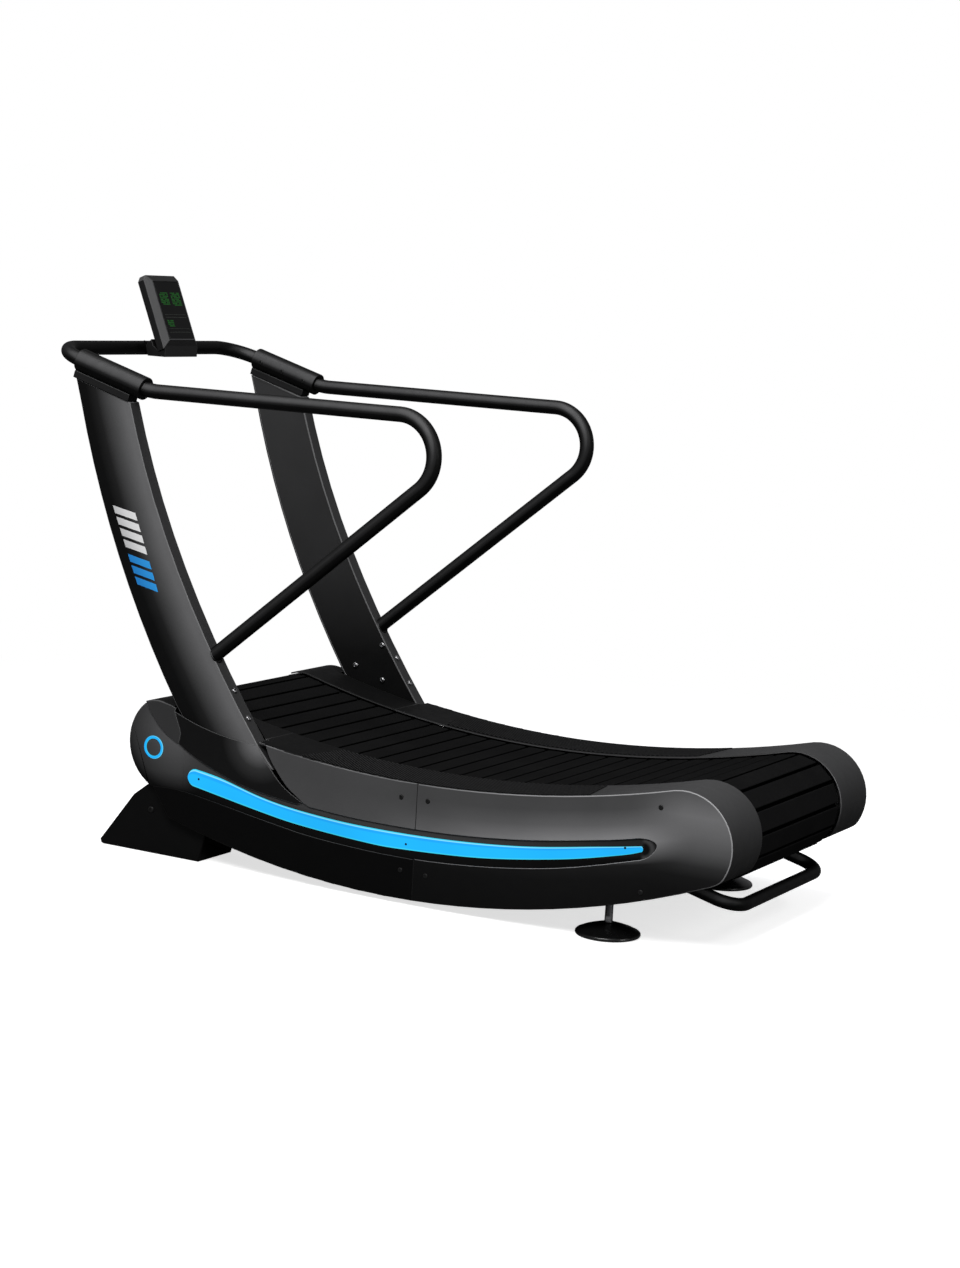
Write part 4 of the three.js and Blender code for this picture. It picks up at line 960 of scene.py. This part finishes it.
def transport_wheel(name, sign):
    """A hard rubber tyre on a moulded hub, turning on a steel pin."""
    node = f"transport_wheel_{name}"
    origin = (WHEEL["x"], sign * WHEEL["y"], WHEEL["z"])
    half, r, pin = WHEEL["width"] / 2, WHEEL["r"], WHEEL["pin"]
    work = bmesh.new()
    wall = [(r - 0.012, half - 0.002), (r - 0.009, half), (r - 0.004, half), (r - 0.001, half - 0.002),
            (r, half - 0.005)]
    one_wall = mirrored(wall)
    groove = [(r, -0.002), (r - 0.0015, 0), (r, 0.002)]
    lathe(work, one_wall + groove + wall[::-1] + one_wall[:1], origin, (0, 1, 0), 40)
    face = [(pin, half - 0.001), (0.011, half - 0.001), (0.012, half - 0.004), (r - 0.012, half - 0.006)]
    one_face = mirrored(face)
    lathe(work, one_face + face[::-1] + one_face[:1], origin, (0, 1, 0), 32, material=1)
    place(f"{node}_tyre", work, node, [TYRE, BRACKET], [node], smooth=35)
    work = bmesh.new()
    end = [(0, WHEEL_PIN_REACH), (pin - 0.001, WHEEL_PIN_REACH), (pin, WHEEL_PIN_REACH - 0.001)]
    lathe(work, mirrored(end) + end[::-1], origin, (0, 1, 0), 20)
    place(f"{node}_pin", work, node, [STEEL], smooth=35)


# ---- fasteners and marks --------------------------------------------------------------------
def hexagon(turn):
    return math.cos(math.radians(30)) / math.cos((turn % math.radians(60)) - math.radians(30))


def screw(work, at, axis, radius, height):
    """A button head with a hexagon socket."""
    socket = radius * 0.48
    profile = [(0, 0), (radius, 0), (radius, height * 0.30), (radius * 0.94, height * 0.62),
               (radius * 0.78, height * 0.88), (radius * 0.60, height), (socket, height),
               (socket, height * 0.35), (0, height * 0.35)]
    lathe(work, profile, at, axis, 24, shape=lambda ring, turn: hexagon(turn) if ring in (6, 7) else 1.0)


def fasteners(name, sign):
    """One piece for each kind of screw. Every seat is a place, a direction and a size."""
    outward, inward = (0, sign, 0), (0, -sign, 0)
    covers = [((x, sign * COVER_OUTER, z), outward, COVER_SCREW) for x, z in COVER_SCREWS]
    flanges = [((at.x, sign * FLANGE_BOLT_Y, at.y), (facing.x, 0, facing.y), FLANGE_BOLT)
               for at, facing in map(flange_frame, FLANGE_BOLT_HEIGHTS)]
    panels = [((x, sign * (UPRIGHT[0] + 0.0008), z), inward, PANEL_BOLT) for x, z in PANEL_BOLTS]
    stands = [((-0.631, sign * STAND_OUTER, 0.115), outward, STAND_BOLT)]
    on_light = sign * (PANEL_OUTER + LIGHT_DOME)
    lights = [((x, on_light, z), outward, LIGHT_SCREW) for x, z in LIGHT_SCREWS]
    on_sleeve = sign * (RAIL_Y - SLEEVE_RADIUS + 0.0006)
    middles = [SLEEVE_MIDDLE + SLEEVE_AXIS * along for along in (-0.075, 0.0, 0.075)]
    sleeves = [((at.x, on_sleeve, at.y), inward, SLEEVE_SCREW) for at in middles]
    for kind, like, material, seats in (
            ("cover_screws", "rear_cover", BOLT, covers),
            ("upright_bolts", "upright", BOLT_BRIGHT, flanges + panels),
            ("stand_bolt", "front_stand", BOLT, stands),
            ("light_screws", "light_strip", BOLT, lights),
            ("sleeve_screws", "rail_sleeve", BOLT, sleeves)):
        work = bmesh.new()
        for at, axis, size in seats:
            screw(work, at, axis, **size)
        place(f"{kind}_{name}", work, f"{like}_{name}", [material], smooth=30)


def upright_stripes(name, sign):
    """Plain slanted stripes of printed foil on the upright's outer face."""
    top_front, top_rear = Vector((-0.775, 0.894)), Vector((-0.711, 0.900))
    low_front, low_rear = Vector((-0.679, 0.680)), Vector((-0.622, 0.686))
    slant, stripe, step, gap = 0.09, 0.09, 0.13, 0.04
    inner, outer = sign * (UPRIGHT[1] - 0.0002), sign * (UPRIGHT[1] + 0.0004)
    work = bmesh.new()
    for number in range(7):
        blue = 1 if number >= 4 else 0
        start = number * step + blue * gap
        front = [top_front.lerp(low_front, share) for share in (start, start + stripe)]
        rear = [top_rear.lerp(low_rear, share + slant) for share in (start, start + stripe)]
        corners = [front[0], rear[0], rear[1], front[1]]
        prism(work, [(c.x, inner, c.y) for c in corners], [(c.x, outer, c.y) for c in corners], blue)
    place(f"upright_stripes_{name}", work, f"upright_{name}", [FOIL_WHITE, FOIL_BLUE], smooth=30,
          weighted=False)


# ---- the console ----------------------------------------------------------------------------
def on_console(x, y, z):
    """Console coordinates: x out of its face, z up its face."""
    tilt = CONSOLE["tilt"]
    return Vector((CONSOLE["x"] + x * math.cos(tilt) - z * math.sin(tilt), y,
                   CONSOLE["z"] + x * math.sin(tilt) + z * math.cos(tilt)))


def plate(work, y0, y1, z0, z1, low, high, material):
    corners = [(y0, z0), (y1, z0), (y1, z1), (y0, z1)]
    under = [on_console(low, y, z) for y, z in corners]
    over = [on_console(high, y, z) for y, z in corners]
    prism(work, under, over, material)


def console_display():
    """Rows of plain segments on the glass, and a painted highlight: bright metal strips along its lower and
    right edges.
    """
    lift = 0.0001
    bars = 6
    work = bmesh.new()
    blocks = ((-0.046, -0.008, 0.016, 0.052, 8), (0.004, 0.046, 0.014, 0.052, 9),
              (-0.044, -0.016, -0.046, -0.026, 4))
    for left, right, low, high, rows in blocks:
        length = (right - left) / bars
        rise = (high - low) / rows
        for row in range(rows):
            lit = [bar for bar in range(bars) if (bar * 3 + row * 5) % 7]
            for bar in lit:
                y, z = left + bar * length, low + rise * row
                plate(work, y, y + length * 0.9, z, z + rise * 0.72, 0, lift, 0)
    for z in (-0.012, -0.020, -0.052, -0.062):
        plate(work, -0.046, 0.048, z, z + 0.0007, 0, lift, 1)
    place("console_segments", work, "console_lens", [SEGMENT, LINE], smooth=30, weighted=False)
    work = bmesh.new()
    # Strips standing in for the highlight on the pocket's chamfer, on the lower and right edges only.
    half, reach, bar = LENS["width"] / 2, LENS["length"] / 2, 0.0016
    plate(work, -half - bar, half + bar, -reach - bar, -reach, -0.0008, 0.0006, 0)
    plate(work, half, half + bar, -reach, reach * 0.4, -0.0008, 0.0006, 0)
    place("console_edge_glint", work, "console_lens", [LENS_GLINT], smooth=30, weighted=False)


# ---- assembly -------------------------------------------------------------------------------
def faces_up(face):
    """1 where a cover's face looks up, as on the foot rail, and 0 on its side."""
    return 1 if abs(face.normal.y) < 0.7 else 0


def faces_aslant(face):
    """1 on the wide chamfer round the console's face, 0 on its sides and front."""
    return 1 if 0.2 < abs(face.normal.y) < 0.95 else 0


ON_COVER = {"rim": 0.0022, "paint": faces_up, "keep_x": SEAM_X, "edge_highlight": COVER_EDGE}
SIDE_FINISHES = {
    "rear_cover": ([COVER, RAIL_TOP], ON_COVER),
    "upper_cover": ([COVER, RAIL_TOP], ON_COVER),
    "front_hood": ([HOOD, RAIL_TOP], {"paint": faces_up, "edge_highlight": SHROUD_EDGE}),
    "lower_cover": ([LOWER], {"keep_x": SEAM_X, "edge_highlight": LOWER_EDGE}),
    "light_channel": ([CAP], {"fine": 0.0004, "rim": 0.0004}),
    "front_cap": ([CAP], {"fine": 0.0006, "rim": 0.0020}),
    "upright_shroud": ([SHROUD], {"fine": 0.0008, "rim": 0.0012, "edge_highlight": SHROUD_EDGE}),
    "front_stand": ([STAND], {"fine": 0.0015}),
    "upright": ([UPRIGHT_COAT, FLANGE_COAT], {"fine": 0.0012, "rim": 0.0022, "deep": 0.02,
                                              "paint": faces_up, "edge_highlight": COAT_EDGE}),
    "upright_liner": ([LINER_COAT], {"fine": 0.0006, "rim": 0.0006}),
    "rail_sleeve": ([RAIL_COAT], {"fine": 0.0015, "rim": 0.0015}),
    "grip_pad": ([GRIP], {"fine": 0.0003, "rim": 0.0003}),
}
SIDE_PIECES = (handrail, light_strip, ring_light, levelling_foot, transport_wheel, fasteners,
               upright_stripes)

belt_slats()
belt_carrier()
crossbar()
lift_handle()
console_display()
refined("console_housing", [BODY_BLACK, BEZEL], fine=0.0012, rim=0.0012, paint=faces_aslant)
refined("console_lens", [GLASS], fine=0.0006, rim=0.0006)
refined("console_bracket", [BRACKET], fine=0.0015, rim=0.0015)
refined("belly_pan", [LOWER], fine=0.0006, rim=0.0006)
for side_name, side_sign in SIDES:
    for kind, (materials, rounding) in SIDE_FINISHES.items():
        refined(f"{kind}_{side_name}", materials, **rounding)
    for build in SIDE_PIECES:
        build(side_name, side_sign)


# ---- stage ----------------------------------------------------------------------------------
FLOOR_RADIUS = 14.0
FLOOR_GLOW = 0.70
DIM_FLOOR = (0.16, 0.16, 0.16, 1)
DIM_SURROUND = (0.20, 0.20, 0.205, 1)
WHITE = (1, 1, 1, 1)
CAMERA_PLACE = Vector((3.30387, -5.86556, 1.57524))
CAMERA_BACK = Vector((0.47623154, -0.86593972, 0.15281336))
CAMERA_ROLL = math.radians(3.3647)
CAMERA_LENS = 74.78
CAMERA_SHIFT = (0.0046, 0.0248)


def pale_floor():
    """A wide round floor: matt near the object, plain white further out, and dim to what it lights."""
    made = Surface("studio_floor", specular=0.0)
    tree = made.tree
    made.set({"Roughness": 1.0, "Emission Color": WHITE, "Emission Strength": FLOOR_GLOW})
    made.colour(made.mix(made.noise(2.0), (0.88, 0.88, 0.88, 1), (0.90, 0.90, 0.90, 1)))
    white = made.node("ShaderNodeEmission", [("Color", WHITE), ("Strength", 1.0)])
    from_middle = made.vector("DISTANCE", made.place, (0, 0, 0))
    far = made.remap(from_middle, 1.3, 3.4, style="SMOOTHSTEP")
    seen = made.node("ShaderNodeMixShader", [(0, far), (1, made.shader.outputs[0]), (2, white.outputs[0])])
    dim = made.node("ShaderNodeBsdfDiffuse", [("Color", DIM_FLOOR)])
    camera_ray = made.node("ShaderNodeLightPath").outputs["Is Camera Ray"]
    both = made.node("ShaderNodeMixShader", [(0, camera_ray), (1, dim.outputs[0]), (2, seen.outputs[0])])
    tree.links.new(both.outputs[0], tree.nodes["Material Output"].inputs["Surface"])
    work = bmesh.new()
    bmesh.ops.create_circle(work, cap_ends=True, segments=96, radius=FLOOR_RADIUS)
    floor = added("studio_floor", mesh_of("studio_floor", work, [made.material]))
    floor.location = (0, 0, -0.0005)


def area_light(name, at, target, size, power):
    data = bpy.data.lights.new(name, "AREA")
    data.shape = "RECTANGLE"
    data.size, data.size_y = size
    data.energy = power
    light = added(name, data)
    light.location = at
    light.rotation_euler = (Vector(target) - Vector(at)).to_track_quat("-Z", "Y").to_euler()


def studio_light():
    """A white surround that the camera sees, dimmer to everything it lights, and soft boxes."""
    world = bpy.data.worlds.new("studio")
    world.use_nodes = True
    nodes, links = world.node_tree.nodes, world.node_tree.links
    background = nodes["Background"]
    seen = nodes.new("ShaderNodeMix")
    seen.data_type = "RGBA"
    seen.inputs[6].default_value = DIM_SURROUND
    seen.inputs[7].default_value = WHITE
    links.new(nodes.new("ShaderNodeLightPath").outputs["Is Camera Ray"], seen.inputs[0])
    links.new(seen.outputs[2], background.inputs["Color"])
    bpy.context.scene.world = world
    area_light("key", (0.8, -3.4, 3.6), (0.1, 0, 0.4), (2.4, 1.6), 150)
    area_light("rear", (3.8, -0.6, 2.2), (0.3, 0, 0.4), (0.9, 2.4), 45)
    area_light("top", (-0.2, -0.2, 4.2), (-0.2, 0, 0.3), (5.0, 0.8), 55)


def make_camera():
    """The photograph's viewpoint."""
    data = bpy.data.cameras.new("camera")
    data.lens = CAMERA_LENS
    data.sensor_width = 36.0
    data.shift_x, data.shift_y = CAMERA_SHIFT
    right = Vector((0, 0, 1)).cross(CAMERA_BACK).normalized()
    up = CAMERA_BACK.cross(right)
    turned_right = math.cos(CAMERA_ROLL) * right + math.sin(CAMERA_ROLL) * up
    turned_up = -math.sin(CAMERA_ROLL) * right + math.cos(CAMERA_ROLL) * up
    facing = Matrix((turned_right, turned_up, CAMERA_BACK)).transposed().to_quaternion()
    camera = added("camera", data)
    camera.matrix_world = Matrix.LocRotScale(CAMERA_PLACE, facing, None)
    bpy.context.scene.camera = camera


pale_floor()
studio_light()
make_camera()
bpy.context.scene.view_settings.view_transform = "Standard"
